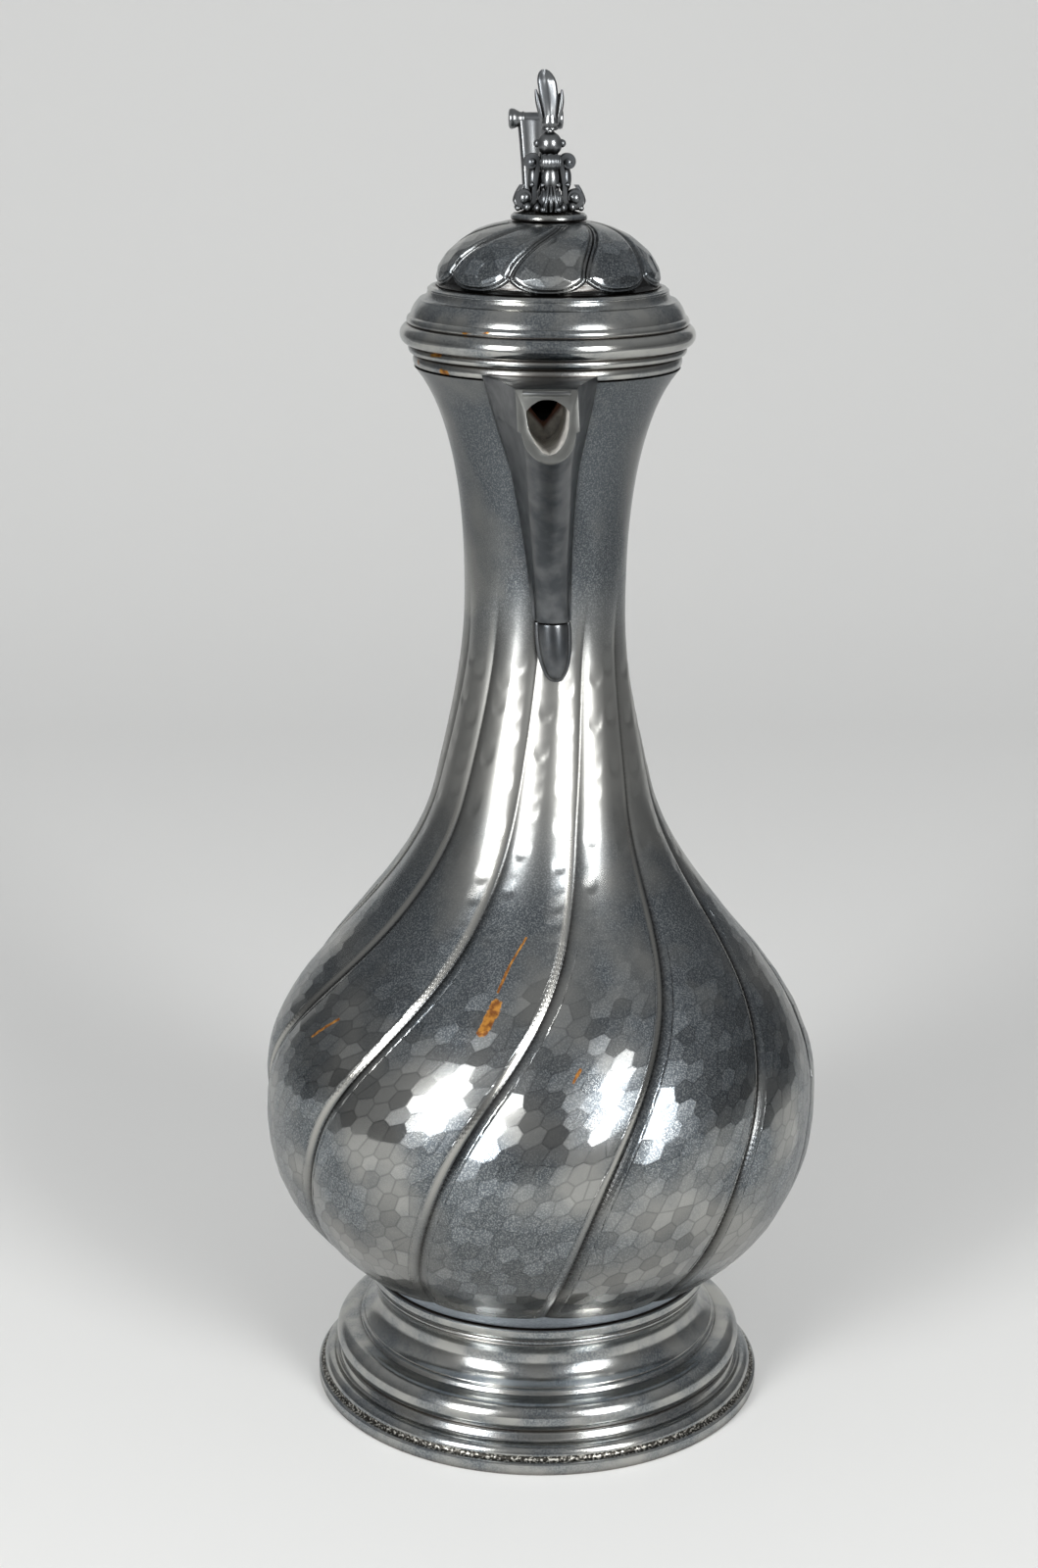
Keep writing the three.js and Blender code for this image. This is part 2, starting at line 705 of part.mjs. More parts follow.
// Scroll bracket: one strap, curled outwards at both ends
function buildScroll(angle) {
  const strapR = stemRadius + seam + scrollThickness / 2;
  const upperZ = zStem + 0.6 * stemHeight;
  const lowerZ = zStem + lowerCurl + scrollThickness / 2;
  const path = [];
  const curl = (reach, height, radius, turn) => {
    const angle = turn * degrees;
    path.push([reach + radius * Math.cos(angle), height + radius * Math.sin(angle)]);
  };
  for (let turn = -70; turn <= 180; turn += 36) curl(strapR + upperCurl, upperZ, upperCurl, turn);
  path.push([strapR, upperZ - 0.4 * (upperZ - lowerZ)]);
  for (let turn = 165; turn <= 410; turn += 35) curl(strapR + 0.4 + lowerCurl, lowerZ, lowerCurl, turn);
  const outward = new THREE.Vector3(Math.sin(angle), -Math.cos(angle), 0);
  const side = new THREE.Vector3(Math.cos(angle), Math.sin(angle), 0);
  const points = path.map(([r, z]) => outward.clone().multiplyScalar(r).setZ(z));
  return solidOf(sweepStrap(points, side, scrollWidth, scrollThickness));
}

// Bud: side petals that spread to their tips, and a longer middle one that bends to the left.
// Each pair is a share of the height and a share of the radius.
const budOutline = [
  [0, 0.6], [0.2, 0.7], [0.42, 0.95], [0.53, 1], [0.62, 0.68], [0.82, 0.6], [0.95, 0.4], [1, 0.15]];

function buildBud() {
  const rings = budOutline.map(([share, swell]) => {
    const ring = [];
    for (let i = 0; i < smallSides; i++) {
      const angle = i / smallSides * 2 * Math.PI;
      const r = budRadius * swell * (1 - 0.16 * (1 - Math.cos(4 * angle)) / 2);
      ring.push(around(r, angle, zBud + budHeight * share).setX(r * Math.sin(angle) - budLean * share ** 2));
    }
    return ring;
  });
  return solidOf(loft(rings));
}

// Hinge: two lugs on the handle, one knuckle on the lid's arm and the pin through all three
function knuckleShape(hole) {
  const shape = new THREE.Shape();
  shape.absarc(hingeY, hingeZ, knuckleRadius, 0, 2 * Math.PI, false);
  const bore = new THREE.Path();
  bore.absarc(hingeY, hingeZ, hole, 0, 2 * Math.PI, true);
  shape.holes.push(bore);
  return shape;
}

function pinHole(width) {
  const hole = new THREE.Shape();
  hole.absarc(hingeY, hingeZ, pinRadius + pinPlay, 0, 2 * Math.PI, false);
  return slab(hole, 0, width);
}

const lugCentre = knuckleWidth / 2 + knucklePlay + lugWidth / 2;
const hingeHalfWidth = lugCentre + lugWidth / 2;

function buildPin() {
  const shaft = hingeHalfWidth + seam;
  const half = [[pinRadius, shaft], [pinHead, shaft], [pinHead, shaft + 0.5], [pinHead - 0.8, shaft + 1.3],
    [0, shaft + 1.3]];
  const points = mirrored(half).map(([r, x]) => new THREE.Vector2(r, x));
  const geometry = new THREE.LatheGeometry(points, smallSides).rotateZ(-Math.PI / 2);
  return solidOf(geometry.translate(0, hingeY, hingeZ));
}

function lidAllowance() {
  const outside = lidOutside();
  const wider = outside.map(([r, z]) => [r + seam, z]);
  const higher = outside.map(([r, z]) => [r, z + seam]);
  const close = (outline) => revolve([[0, outline[0][1]], ...outline, [0, outline.at(-1)[1]]]);
  return close(wider).add(close(higher));
}

const armTop = hingeZ + knuckleRadius + 0.7 + armHeight;

function buildArm() {
  const knuckle = slab(knuckleShape(pinRadius + pinPlay), 0, knuckleWidth);
  const web = new THREE.Shape();
  web.moveTo(lidRadius - 4, hingeZ + 0.4 * knuckleRadius);
  web.lineTo(hingeY - 0.8 * knuckleRadius, hingeZ + 0.4 * knuckleRadius);
  web.lineTo(hingeY + 0.6 * knuckleRadius, hingeZ + 0.75 * knuckleRadius);
  web.lineTo(hingeY + 0.4 * knuckleRadius, armTop);
  web.lineTo(lidRadius - 4, armTop);
  const webSolid = slab(web, 0, knuckleWidth);
  const plateEnd = hingeY + 0.38 * knuckleRadius;
  const plate = block(-armWidth / 2, armWidth / 2, lidRadius - 4, plateEnd, armTop - armHeight, armTop);
  return knuckle.add(webSolid).add(plate).subtract(pinHole(knuckleWidth + 2)).subtract(lidAllowance());
}

function buildThumbpiece() {
  const foot = armTop + seam;
  const rollZ = foot + thumbHeight - thumbRollRadius;
  const centreY = hingeY - 0.55 * knuckleRadius;
  const rings = [];
  const rows = 8;
  for (let row = 0; row <= rows; row++) {
    const share = row / rows;
    const z = foot + (rollZ - foot) * share;
    const waist = 0.62 + 0.38 * Math.abs(2 * share - 0.85) ** 1.6;
    const halfWidth = thumbStemWidth / 2 * Math.min(waist, 1.15);
    const halfDepth = THREE.MathUtils.lerp(2.9, 2.1, share);
    const x = thumbLean * share;
    const y = centreY - 1.2 * Math.sin(Math.PI * share);
    const ring = [];
    for (let i = 0; i < barSides; i++) {
      const angle = (i + 0.5) / barSides * 2 * Math.PI;
      const square = 1 / Math.max(Math.abs(Math.cos(angle)), Math.abs(Math.sin(angle))) ** 0.6;
      const [side, front] = [halfWidth * square * Math.cos(angle), halfDepth * square * Math.sin(angle)];
      ring.push(new THREE.Vector3(x + side, y + front, z));
    }
    rings.push(ring);
  }
  const half = thumbRollWidth / 2;
  const r = thumbRollRadius;
  const rightHalf = [[r, half - 1.6 * r], [0.5 * r, half - 1.25 * r], [0.8 * r, half - 0.8 * r],
    [0.62 * r, half - 0.35 * r], [0, half]];
  const points = mirrored(rightHalf).map(([radius, x]) => new THREE.Vector2(radius, x));
  const roll = new THREE.LatheGeometry(points, smallSides).rotateZ(-Math.PI / 2);
  roll.translate(thumbLean, centreY, rollZ);
  return solidOf(loft(rings)).add(solidOf(roll));
}

// Handle: an oval bar from the neck, under the hinge, round the grip and down to the bulb
function handlePath() {
  const outer = handleReach - handleThickness / 2;
  const crownZ = hingeZ - knuckleRadius - 1.4 - handleThickness / 2;
  const footZ = zRing - handleDrop;
  const footR = outlineRadius(footZ);
  const rootZ = crownZ - 12;
  const rootY = outlineRadius(rootZ) - bodyWall;
  const drop = crownZ - footZ;
  const points = [
    [rootY, rootZ],
    [hingeY - 10, crownZ - 4],
    [hingeY, crownZ],
    [hingeY + 0.45 * (outer - hingeY), crownZ - 0.02 * drop],
    [outer - 0.12 * (outer - hingeY), crownZ - 0.13 * drop],
    [outer, crownZ - 0.28 * drop],
    [outer - 0.06 * (outer - footR), crownZ - 0.48 * drop],
    [outer - 0.34 * (outer - footR), crownZ - 0.7 * drop],
    [outer - 0.66 * (outer - footR), crownZ - 0.87 * drop],
    [footR - 2 * bodyWall, footZ - 3],
  ];
  return new THREE.CatmullRomCurve3(points.map(([y, z]) => new THREE.Vector3(0, y, z)), false, 'centripetal');
}

function buildHandle() {
  const path = handlePath();
  const rows = 20;
  const side = new THREE.Vector3(1, 0, 0);
  const rings = [];
  for (let row = 0; row <= rows; row++) {
    const share = row / rows;
    const centre = path.getPointAt(share);
    const across = path.getTangentAt(share).cross(side);
    const taper = THREE.MathUtils.smoothstep(share, 0.3, 0.95);
    const flare = 1 + 0.5 * Math.max(0, share - 0.93) / 0.07;
    const width = THREE.MathUtils.lerp(handleWidth, handleFootWidth, taper) * flare;
    const thickness = THREE.MathUtils.lerp(handleThickness, handleFootThickness, taper) * flare;
    const ring = [];
    for (let i = 0; i < barSides; i++) {
      const angle = i / barSides * 2 * Math.PI;
      ring.push(centre.clone().addScaledVector(side, width / 2 * Math.cos(angle))
        .addScaledVector(across, thickness / 2 * Math.sin(angle)));
    }
    rings.push(ring);
  }
  const lug = new THREE.Shape();
  const lugFoot = hingeZ - knuckleRadius - 1.4 - 0.6 * handleThickness;
  lug.moveTo(hingeY + knuckleRadius, lugFoot);
  lug.lineTo(hingeY + knuckleRadius, hingeZ);
  lug.absarc(hingeY, hingeZ, knuckleRadius, 0, Math.PI, false);
  lug.lineTo(hingeY - knuckleRadius, lugFoot);
  let handle = solidOf(loft(rings)).subtract(bodyAllowance);
  for (const sideSign of [-1, 1]) handle = handle.add(slab(lug, sideSign * lugCentre, lugWidth));
  return handle.subtract(pinHole(2 * hingeHalfWidth + 2)).subtract(ringAllowance());
}

addPiece('foot', buildFoot(), turned);
addPiece('foot_collar', buildCollar(), turned);
addPiece('body_bowl', body.bowl, hammered);
addPiece('body_neck', body.top.subtract(passage()), hammered);
addPiece('mouth_ring', buildMouthRing(), turned);
addPiece('spout', buildSpout(), cast);
addPiece('spout_drop', buildDrop(), cast);
addPiece('handle', buildHandle(), cast);
addPiece('hinge_pin', buildPin(), cast);
addPiece('lid_arm', buildArm(), cast);
addPiece('thumbpiece', buildThumbpiece(), cast);
addPiece('lid_rim', buildLid(), turned);
addPiece('lid_bezel', buildBezel(), turned);
addPiece('lid_dome', buildDome(), hammered);
addPiece('finial_disc', buildFinialDisc(), turned);
addPiece('finial_nut', buildNut(), cast);
addPiece('finial_stem', buildStem(), cast);
for (const [name, angle] of [['front', 0], ['right', 90], ['back', 180], ['left', 270]]) {
  addPiece(`finial_scroll_${name}`, buildScroll(angle * degrees), cast);
}
addPiece('finial_bud', buildBud(), cast);

export default jug;
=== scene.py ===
# %% Load the frame
import json
import math

import bmesh
import bpy
import numpy as np
from mathutils import Matrix, Vector
from mathutils.kdtree import KDTree

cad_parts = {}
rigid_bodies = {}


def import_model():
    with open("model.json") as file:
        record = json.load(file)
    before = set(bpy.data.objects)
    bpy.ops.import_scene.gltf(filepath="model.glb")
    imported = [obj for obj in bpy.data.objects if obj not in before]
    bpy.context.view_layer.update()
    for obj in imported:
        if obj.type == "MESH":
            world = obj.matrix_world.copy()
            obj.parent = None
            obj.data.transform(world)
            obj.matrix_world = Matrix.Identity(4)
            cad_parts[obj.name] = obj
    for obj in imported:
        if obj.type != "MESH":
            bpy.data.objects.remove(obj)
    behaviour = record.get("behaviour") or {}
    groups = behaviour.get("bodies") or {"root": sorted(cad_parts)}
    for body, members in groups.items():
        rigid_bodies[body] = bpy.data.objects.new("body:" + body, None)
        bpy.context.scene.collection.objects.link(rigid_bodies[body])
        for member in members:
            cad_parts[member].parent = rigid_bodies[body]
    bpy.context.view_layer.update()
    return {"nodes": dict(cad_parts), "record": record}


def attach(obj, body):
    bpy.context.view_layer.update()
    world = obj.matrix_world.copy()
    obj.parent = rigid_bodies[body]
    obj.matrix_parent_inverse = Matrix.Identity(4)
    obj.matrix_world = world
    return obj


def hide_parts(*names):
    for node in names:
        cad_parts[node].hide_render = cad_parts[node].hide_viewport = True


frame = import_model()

nodes = frame["nodes"]
print("solids loaded:", len(nodes))

# %% [markdown]
# The object is a wine jug of pewter, an alloy of tin. It was raised by hammer over a stake, so its
# belly shows the flat marks of the hammer, while the foot, the lid and the mouth were turned on a
# lathe. Everything here is in metres, in the frame of the solids, so the sizes below are written in
# millimetres and one constant turns them into metres.

# %% Units and colours
MM = 0.001


def linear(hex_colour):
    """Turns an sRGB hex colour such as 8A8C8E into the linear values that shaders work in."""
    values = [int(hex_colour[i:i + 2], 16) / 255 for i in (0, 2, 4)]
    return tuple(v / 12.92 if v <= 0.04045 else ((v + 0.055) / 1.055) ** 2.4 for v in values) + (1,)


# %% [markdown]
# A material is a small graph of nodes. The helpers below add a node with its options and inputs, do
# sums, mix two colours and find a place on the jug, so that each finish reads as a short list.

# %% Node helpers
def add_node(tree, kind, options=None, inputs=None):
    """Adds a shader node. An input is a value, or another node's output socket to link."""
    node = tree.nodes.new(kind)
    for name, value in (options or {}).items():
        setattr(node, name, value)
    for name, value in (inputs or {}).items():
        if isinstance(value, bpy.types.NodeSocket):
            tree.links.new(value, node.inputs[name])
        else:
            node.inputs[name].default_value = value
    return node


def new_material(name):
    """A material with an empty Principled shader, and its tree."""
    material = bpy.data.materials.new(name)
    material.use_nodes = True
    tree = material.node_tree
    tree.nodes.clear()
    shader = add_node(tree, "ShaderNodeBsdfPrincipled")
    output = add_node(tree, "ShaderNodeOutputMaterial")
    tree.links.new(shader.outputs["BSDF"], output.inputs["Surface"])
    return material, tree, shader


def calc(tree, operation, *values):
    return add_node(tree, "ShaderNodeMath", {"operation": operation}, dict(enumerate(values))).outputs[0]


def calc_vector(tree, operation, *values):
    node = add_node(tree, "ShaderNodeVectorMath", {"operation": operation}, dict(enumerate(values)))
    return node.outputs["Value" if operation in ("DOT_PRODUCT", "LENGTH") else "Vector"]


def ramp(tree, value, low, high, start=0.0, end=1.0):
    """Maps low..high to start..end and stays between them."""
    return add_node(tree, "ShaderNodeMapRange", None, {"Value": value, "From Min": low, "From Max": high,
                                                       "To Min": start, "To Max": end}).outputs["Result"]


def mixed(tree, factor, first, second):
    """Mixes two colours, each an sRGB hex or a socket."""
    node = add_node(tree, "ShaderNodeMix", {"data_type": "RGBA"}, {0: factor})
    for index, colour in ((6, first), (7, second)):
        if isinstance(colour, str):
            node.inputs[index].default_value = linear(colour)
        else:
            tree.links.new(colour, node.inputs[index])
    return node.outputs[2]


def noise(tree, place, size_mm, detail=3.0, stretch=(1, 1, 1)):
    """Noise with grains of a size in millimetres. A stretch under 1 draws them out along an axis."""
    where = calc_vector(tree, "MULTIPLY", place, stretch)
    return add_node(tree, "ShaderNodeTexNoise", None,
                    {"Vector": where, "Scale": 1 / (size_mm * MM), "Detail": detail}).outputs["Fac"]


def between(tree, value, low, high, soft):
    """1 where a value in metres lies between two heights in millimetres, with soft ends."""
    rise = ramp(tree, value, (low - soft) * MM, low * MM)
    fall = ramp(tree, value, high * MM, (high + soft) * MM, 1, 0)
    return calc(tree, "MULTIPLY", rise, fall)


def near_line(tree, place, start, end, width):
    """1 within about a width in millimetres of the line from start to end, with a ragged edge."""
    a, b = (Vector(p) * MM for p in (start, end))
    way = b - a
    ragged = add_node(tree, "ShaderNodeTexNoise", None, {"Vector": place, "Scale": 1 / (1.5 * MM)}).outputs["Color"]
    ragged = calc_vector(tree, "MULTIPLY_ADD", ragged, (width * MM,) * 3, (-0.5 * width * MM,) * 3)
    place = calc_vector(tree, "ADD", place, ragged)
    offset = calc_vector(tree, "SUBTRACT", place, tuple(a))
    along = calc_vector(tree, "DOT_PRODUCT", offset, tuple(way / way.length_squared))
    foot = calc_vector(tree, "SCALE", tuple(way))
    scale = foot.node
    tree.links.new(ramp(tree, along, 0, 1), scale.inputs["Scale"])
    gap = calc_vector(tree, "LENGTH", calc_vector(tree, "SUBTRACT", offset, foot))
    return ramp(tree, gap, 0.8 * width * MM, width * MM, 1, 0)


def flakes_of(tree, place, lines):
    """1 where a flake of lacquer is left. Each is written as a start, an end and a width."""
    flakes = near_line(tree, place, *lines[0])
    for line in lines[1:]:
        flakes = calc(tree, "MAXIMUM", flakes, near_line(tree, place, *line))
    return flakes


def from_spout(tree, axes):
    """Sideways distance from the middle of the spout, which leans."""
    lean = calc(tree, "MULTIPLY_ADD", axes["Z"], 0.0629, -14.65 * MM)
    return calc(tree, "ABSOLUTE", calc(tree, "ADD", axes["X"], lean))


def recess_shade(tree, distance_mm, strength):
    """Painted shade, with some dirt, where ambient occlusion finds a groove."""
    recess = add_node(tree, "ShaderNodeAmbientOcclusion", {"samples": 8}, {"Distance": distance_mm * MM})
    return ramp(tree, recess.outputs["AO"], 0.95, 0.35, 0, strength)


# %% [markdown]
# Pewter is a soft grey metal. The hammered skin of the jug shows two states: rubbed bright in
# patches, and a dark skin of tarnish with a sandy grain elsewhere. A strip left of each crease and the
# flare of the neck are painted lighter, as highlights; the upper neck and the bottom of the bulb are
# painted darker, as shade. The ridges between the blows and the creases get painted shade, and every
# blow has its own tone at random. A few flakes of an old orange lacquer hold on in places. The plain
# band above the foot is grey solder with a light bluish sky reflection painted on it, and the wall
# inside the spout is painted light and matte, as if light fell into it.

# %% Hammered pewter
BODY_LACQUER = [((-14.6, -54.4, 129.8), (-18.2, -58.2, 124.2), 1.7),
                ((-14.1, -52.1, 132.6), (-11.0, -48.1, 138.2), 0.4), ((-11.0, -48.1, 138.2), (-6.6, -44.1, 144.2), 0.3),
                ((6.1, -66.1, 116.7), (4.3, -68.0, 114.0), 0.5), ((-62.2, -29.9, 112.5), (-55.0, -34.3, 118.9), 0.5)]


def hammered_pewter():
    material, tree, shader = new_material("hammered_pewter_tarnished")
    place = add_node(tree, "ShaderNodeTexCoord").outputs["Object"]
    axes = add_node(tree, "ShaderNodeSeparateXYZ", None, {"Vector": place}).outputs
    blow, ridge, crease, strip_highlight = (add_node(tree, "ShaderNodeAttribute", {"attribute_name": key}).outputs["Fac"]
                                  for key in ("blow", "ridge", "crease", "strip_highlight"))
    # Random rubbed patches, plus painted highlights on the strip left of each crease and on the neck's flare.
    rubbed_and_highlight = ramp(tree, noise(tree, place, 30, 4), 0.45, 0.62, 0.0, 0.7)
    rubbed_and_highlight = calc(tree, "MAXIMUM", rubbed_and_highlight, strip_highlight)
    upper_neck_shade = between(tree, axes["Z"], 245, 285, 22)
    flare_highlight = between(tree, axes["Z"], 178, 205, 28)
    low_bulb_shade = ramp(tree, axes["Z"], 85 * MM, 62 * MM)
    on_dome = ramp(tree, axes["Z"], 300 * MM, 304 * MM)
    # Painted highlight: the flare of the neck is painted lighter.
    rubbed_and_highlight = calc(tree, "MAXIMUM", rubbed_and_highlight, calc(tree, "MULTIPLY", flare_highlight, 0.8))
    dull = calc(tree, "SUBTRACT", 1.0, rubbed_and_highlight)
    sand = calc(tree, "MULTIPLY", ramp(tree, noise(tree, place, 0.4, 2), 0.46, 0.66), dull)
    brushed = noise(tree, place, 0.3, 2, (0.08, 0.08, 1))
    skin_colour = mixed(tree, sand, "656B70", "A2A6A7")
    colour = mixed(tree, rubbed_and_highlight, skin_colour, "B3B2AD")
    vivid = calc(tree, "MULTIPLY_ADD", calc(tree, "MAXIMUM", on_dome, low_bulb_shade), 0.1, 0.18)
    shade = calc(tree, "MULTIPLY_ADD", blow, vivid, 1.0)
    colour = add_node(tree, "ShaderNodeHueSaturation", None, {"Value": shade, "Color": colour}).outputs["Color"]
    # Painted shade: the upper neck is darker.
    colour = mixed(tree, calc(tree, "MULTIPLY", upper_neck_shade, 0.55), colour, "43474B")
    # Painted shade: the bulb is darker towards its bottom.
    colour = mixed(tree, calc(tree, "MULTIPLY", low_bulb_shade, 0.35), colour, "5C5A57")
    # Painted shade on the ridges between the blows.
    colour = mixed(tree, calc(tree, "MULTIPLY", ridge, 0.34), colour, "34373A")
    # Painted shade in and beside the creases, streaked along them, and in grooves from ambient occlusion.
    shade_and_grime = calc(tree, "MULTIPLY", crease, ramp(tree, brushed, 0.3, 0.7, 0.75, 1.0))
    shade_and_grime = calc(tree, "MAXIMUM", shade_and_grime, recess_shade(tree, 3, 0.9))
    colour = mixed(tree, shade_and_grime, colour, "262320")
    flakes = flakes_of(tree, place, BODY_LACQUER)
    amber = ramp(tree, noise(tree, place, 1.6, 3), 0.4, 0.6)
    colour = mixed(tree, flakes, colour, mixed(tree, amber, "7A4A22", "B98038"))
    # The band is grey solder, with a light bluish reflection of the sky painted on it.
    solder = between(tree, axes["Z"], 34.8, 41.4, 0.5)
    solder_and_sky_colour = mixed(tree, noise(tree, place, 0.8, 4), "7C8794", "D4DCE4")
    colour = mixed(tree, calc(tree, "MULTIPLY", solder, 0.85), colour, solder_and_sky_colour)
    # Painted light: inside the spout the neck wall is light and matte, as if light fell into it, with a brown border
    # along the hole.
    beside = from_spout(tree, axes)
    inside = calc(tree, "MULTIPLY", between(tree, axes["Z"], 264, 284.3, 0.2), between(tree, beside, -1, 6.0, 0.2))
    inside = calc(tree, "MULTIPLY", inside, ramp(tree, axes["Y"], -18 * MM, -18.5 * MM))
    hole_border = calc(tree, "SUBTRACT", beside, calc(tree, "MULTIPLY_ADD", axes["Z"], 0.78, -0.78 * 272.3 * MM))
    lit_wall = mixed(tree, ramp(tree, noise(tree, place, 2.2, 4), 0.35, 0.65), "B9B7B2", "E2E0DA")
    colour = mixed(tree, inside, colour, mixed(tree, ramp(tree, hole_border, 0.5 * MM, -0.7 * MM), lit_wall, "6A4232"))
    rough = calc(tree, "MULTIPLY_ADD", rubbed_and_highlight, -0.07, 0.27)
    rough = calc(tree, "MULTIPLY_ADD", blow, 0.05, rough)
    rough = calc(tree, "MULTIPLY_ADD", flare_highlight, 0.12, rough)
    rough = calc(tree, "MULTIPLY_ADD", calc(tree, "MAXIMUM", solder, inside), 0.25, rough)
    metal = calc(tree, "MULTIPLY_ADD", flakes, -0.5, calc(tree, "MULTIPLY_ADD", inside, -0.7, 1.0))
    height = calc(tree, "MULTIPLY_ADD", noise(tree, place, 0.6, 3), calc(tree, "MULTIPLY", solder, 8.0),
                  calc(tree, "MULTIPLY_ADD", sand, 0.5, brushed))
    bump = add_node(tree, "ShaderNodeBump", None, {"Height": height, "Strength": 0.15, "Distance": 0.012 * MM})
    for name, value in (("Base Color", colour), ("Roughness", rough), ("Metallic", metal),
                        ("Normal", bump.outputs["Normal"])):
        tree.links.new(value, shader.inputs[name])
    return material


# %% [markdown]
# The turned pieces keep a better polish. Fine tool marks run round the axis, painted shade, warm as
# grime, darkens the corners between the mouldings, and a bluish tarnish clouds the broad rolls. The
# narrow groove above the rim of the foot was left rough from the mould; it is painted dark as shade,
# with light specks painted on as glints.

# %% Turned pewter
LID_LACQUER = [((-26.4, -22.1, 285.4), (-27.6, -20.6, 285.6), 0.9), ((-28.0, -22.0, 289.8), (-30.0, -19.0, 289.5), 0.5),
               ((-33.2, -9.7, 286.3), (-33.4, -9.0, 286.8), 0.5), ((-22.5, -28.2, 296.2), (-16.5, -32.0, 296.6), 0.35),
               ((-35.2, -2.0, 288.8), (-34.6, -6.0, 288.8), 0.5)]


def turned_pewter():
    material, tree, shader = new_material("turned_pewter_polished")
    place = add_node(tree, "ShaderNodeTexCoord").outputs["Object"]
    axes = add_node(tree, "ShaderNodeSeparateXYZ", None, {"Vector": place}).outputs
    radius = calc_vector(tree, "LENGTH", calc_vector(tree, "MULTIPLY", place, (1, 1, 0)))
    round_axis = add_node(tree, "ShaderNodeCombineXYZ", None, {"X": radius, "Y": axes["Z"]}).outputs[0]
    lines = noise(tree, calc_vector(tree, "ADD", round_axis, calc_vector(tree, "MULTIPLY", place, (0, 0.004, 0.004))),
                  0.22, 3)
    clouds = ramp(tree, noise(tree, place, 11, 4), 0.38, 0.62)
    sand = ramp(tree, noise(tree, place, 0.45, 2), 0.4, 0.62)
    tarnished = mixed(tree, sand, "71777C", "A0A3A3")
    colour = mixed(tree, clouds, tarnished, "B3B3AF")
    # Painted shade, warm as grime, in the corners between the mouldings.
    shade_and_grime = recess_shade(tree, 2.2, 0.95)
    colour = mixed(tree, shade_and_grime, colour, "3B2F24")
    flakes = flakes_of(tree, place, LID_LACQUER)
    amber = ramp(tree, noise(tree, place, 1.6, 3), 0.4, 0.6)
    colour = mixed(tree, flakes, colour, mixed(tree, amber, "7A4A22", "C48A3A"))
    # Painted shade and glints: the narrow groove above the rim of the foot is painted dark, with light specks.
    groove = between(tree, axes["Z"], 3.45, 4.7, 0.15)
    glints = ramp(tree, noise(tree, place, 0.7, 3), 0.52, 0.6)
    colour = mixed(tree, groove, colour, mixed(tree, glints, "3A3834", "C8C6BE"))
    rough = calc(tree, "MULTIPLY_ADD", clouds, -0.05, 0.22)
    rough = calc(tree, "MULTIPLY_ADD", calc(tree, "MAXIMUM", shade_and_grime, groove), 0.2, rough)
    height = calc(tree, "MULTIPLY_ADD", groove, calc(tree, "MULTIPLY", glints, 6.0), lines)
    bump = add_node(tree, "ShaderNodeBump", None, {"Height": height, "Strength": 0.25, "Distance": 0.012 * MM})
    shader.inputs["Metallic"].default_value = 1
    for name, value in (("Base Color", colour), ("Roughness", rough), ("Normal", bump.outputs["Normal"])):
        tree.links.new(value, shader.inputs[name])
    return material


# %% [markdown]
# The cast pieces are duller and darker, because a casting keeps its skin where no tool reaches it.
# Below the lid, the spout above all, they get a darker copy of the colour as painted shade, and their
# corners get painted shade with some grime. Only the flat face round the mouth of the spout was filed
# and rubbed bright. The floor of the gutter inside the spout is painted light and matte, as if light
# fell into it.

# %% Cast pewter
def cast_pewter():
    material, tree, shader = new_material("cast_pewter_dark")
    place = add_node(tree, "ShaderNodeTexCoord").outputs["Object"]
    axes = add_node(tree, "ShaderNodeSeparateXYZ", None, {"Vector": place}).outputs
    clouds = ramp(tree, noise(tree, place, 6, 4), 0.38, 0.62)
    sand = noise(tree, place, 0.5, 3)
    colour = mixed(tree, clouds, "4E5154", "696B6D")
    # Painted shade: the cast pieces below the lid get a darker copy of the colour than those on the lid.
    on_lid = ramp(tree, axes["Z"], 288 * MM, 292 * MM)
    colour = mixed(tree, on_lid, colour, mixed(tree, clouds, "6C6F72", "868889"))
    # Painted shade, nearly black, with some grime, in the corners.
    shade_and_grime = recess_shade(tree, 2.5, 0.95)
    colour = mixed(tree, shade_and_grime, colour, "1C1A18")
    filed = ramp(tree, axes["Y"], -51.4 * MM, -51.8 * MM)
    colour = mixed(tree, filed, colour, "8A8B88")
    # Painted light: the floor of the spout's gutter is light and matte, as if light fell into it.
    beside = from_spout(tree, axes)
    floor = calc(tree, "MULTIPLY_ADD", calc(tree, "MULTIPLY", beside, beside), 250.0, 269.2 * MM)
    gutter = ramp(tree, calc(tree, "SUBTRACT", axes["Z"], floor), 0, 0.2 * MM)
    gutter = calc(tree, "MULTIPLY", gutter, between(tree, beside, -1, 5.6, 0.2))
    gutter = calc(tree, "MULTIPLY", gutter, between(tree, axes["Y"], -51.4, -20, 0.2))
    gutter = calc(tree, "MULTIPLY", gutter, between(tree, axes["Z"], 260, 284.2, 0.2))
    lit_wall = mixed(tree, ramp(tree, noise(tree, place, 1.8, 4), 0.35, 0.65), "B4B2AE", "DCDAD5")
    colour = mixed(tree, gutter, colour, lit_wall)
    rough = calc(tree, "MULTIPLY_ADD", clouds, -0.06, 0.34)
    rough = calc(tree, "MULTIPLY_ADD", calc(tree, "MAXIMUM", shade_and_grime, gutter), 0.2, rough)
    bump = add_node(tree, "ShaderNodeBump", None, {"Height": sand, "Strength": 0.2, "Distance": 0.02 * MM})
    for name, value in (("Base Color", colour), ("Roughness", rough), ("Normal", bump.outputs["Normal"]),
                        ("Metallic", calc(tree, "MULTIPLY_ADD", gutter, -0.7, 1.0))):
        tree.links.new(value, shader.inputs[name])
    return material


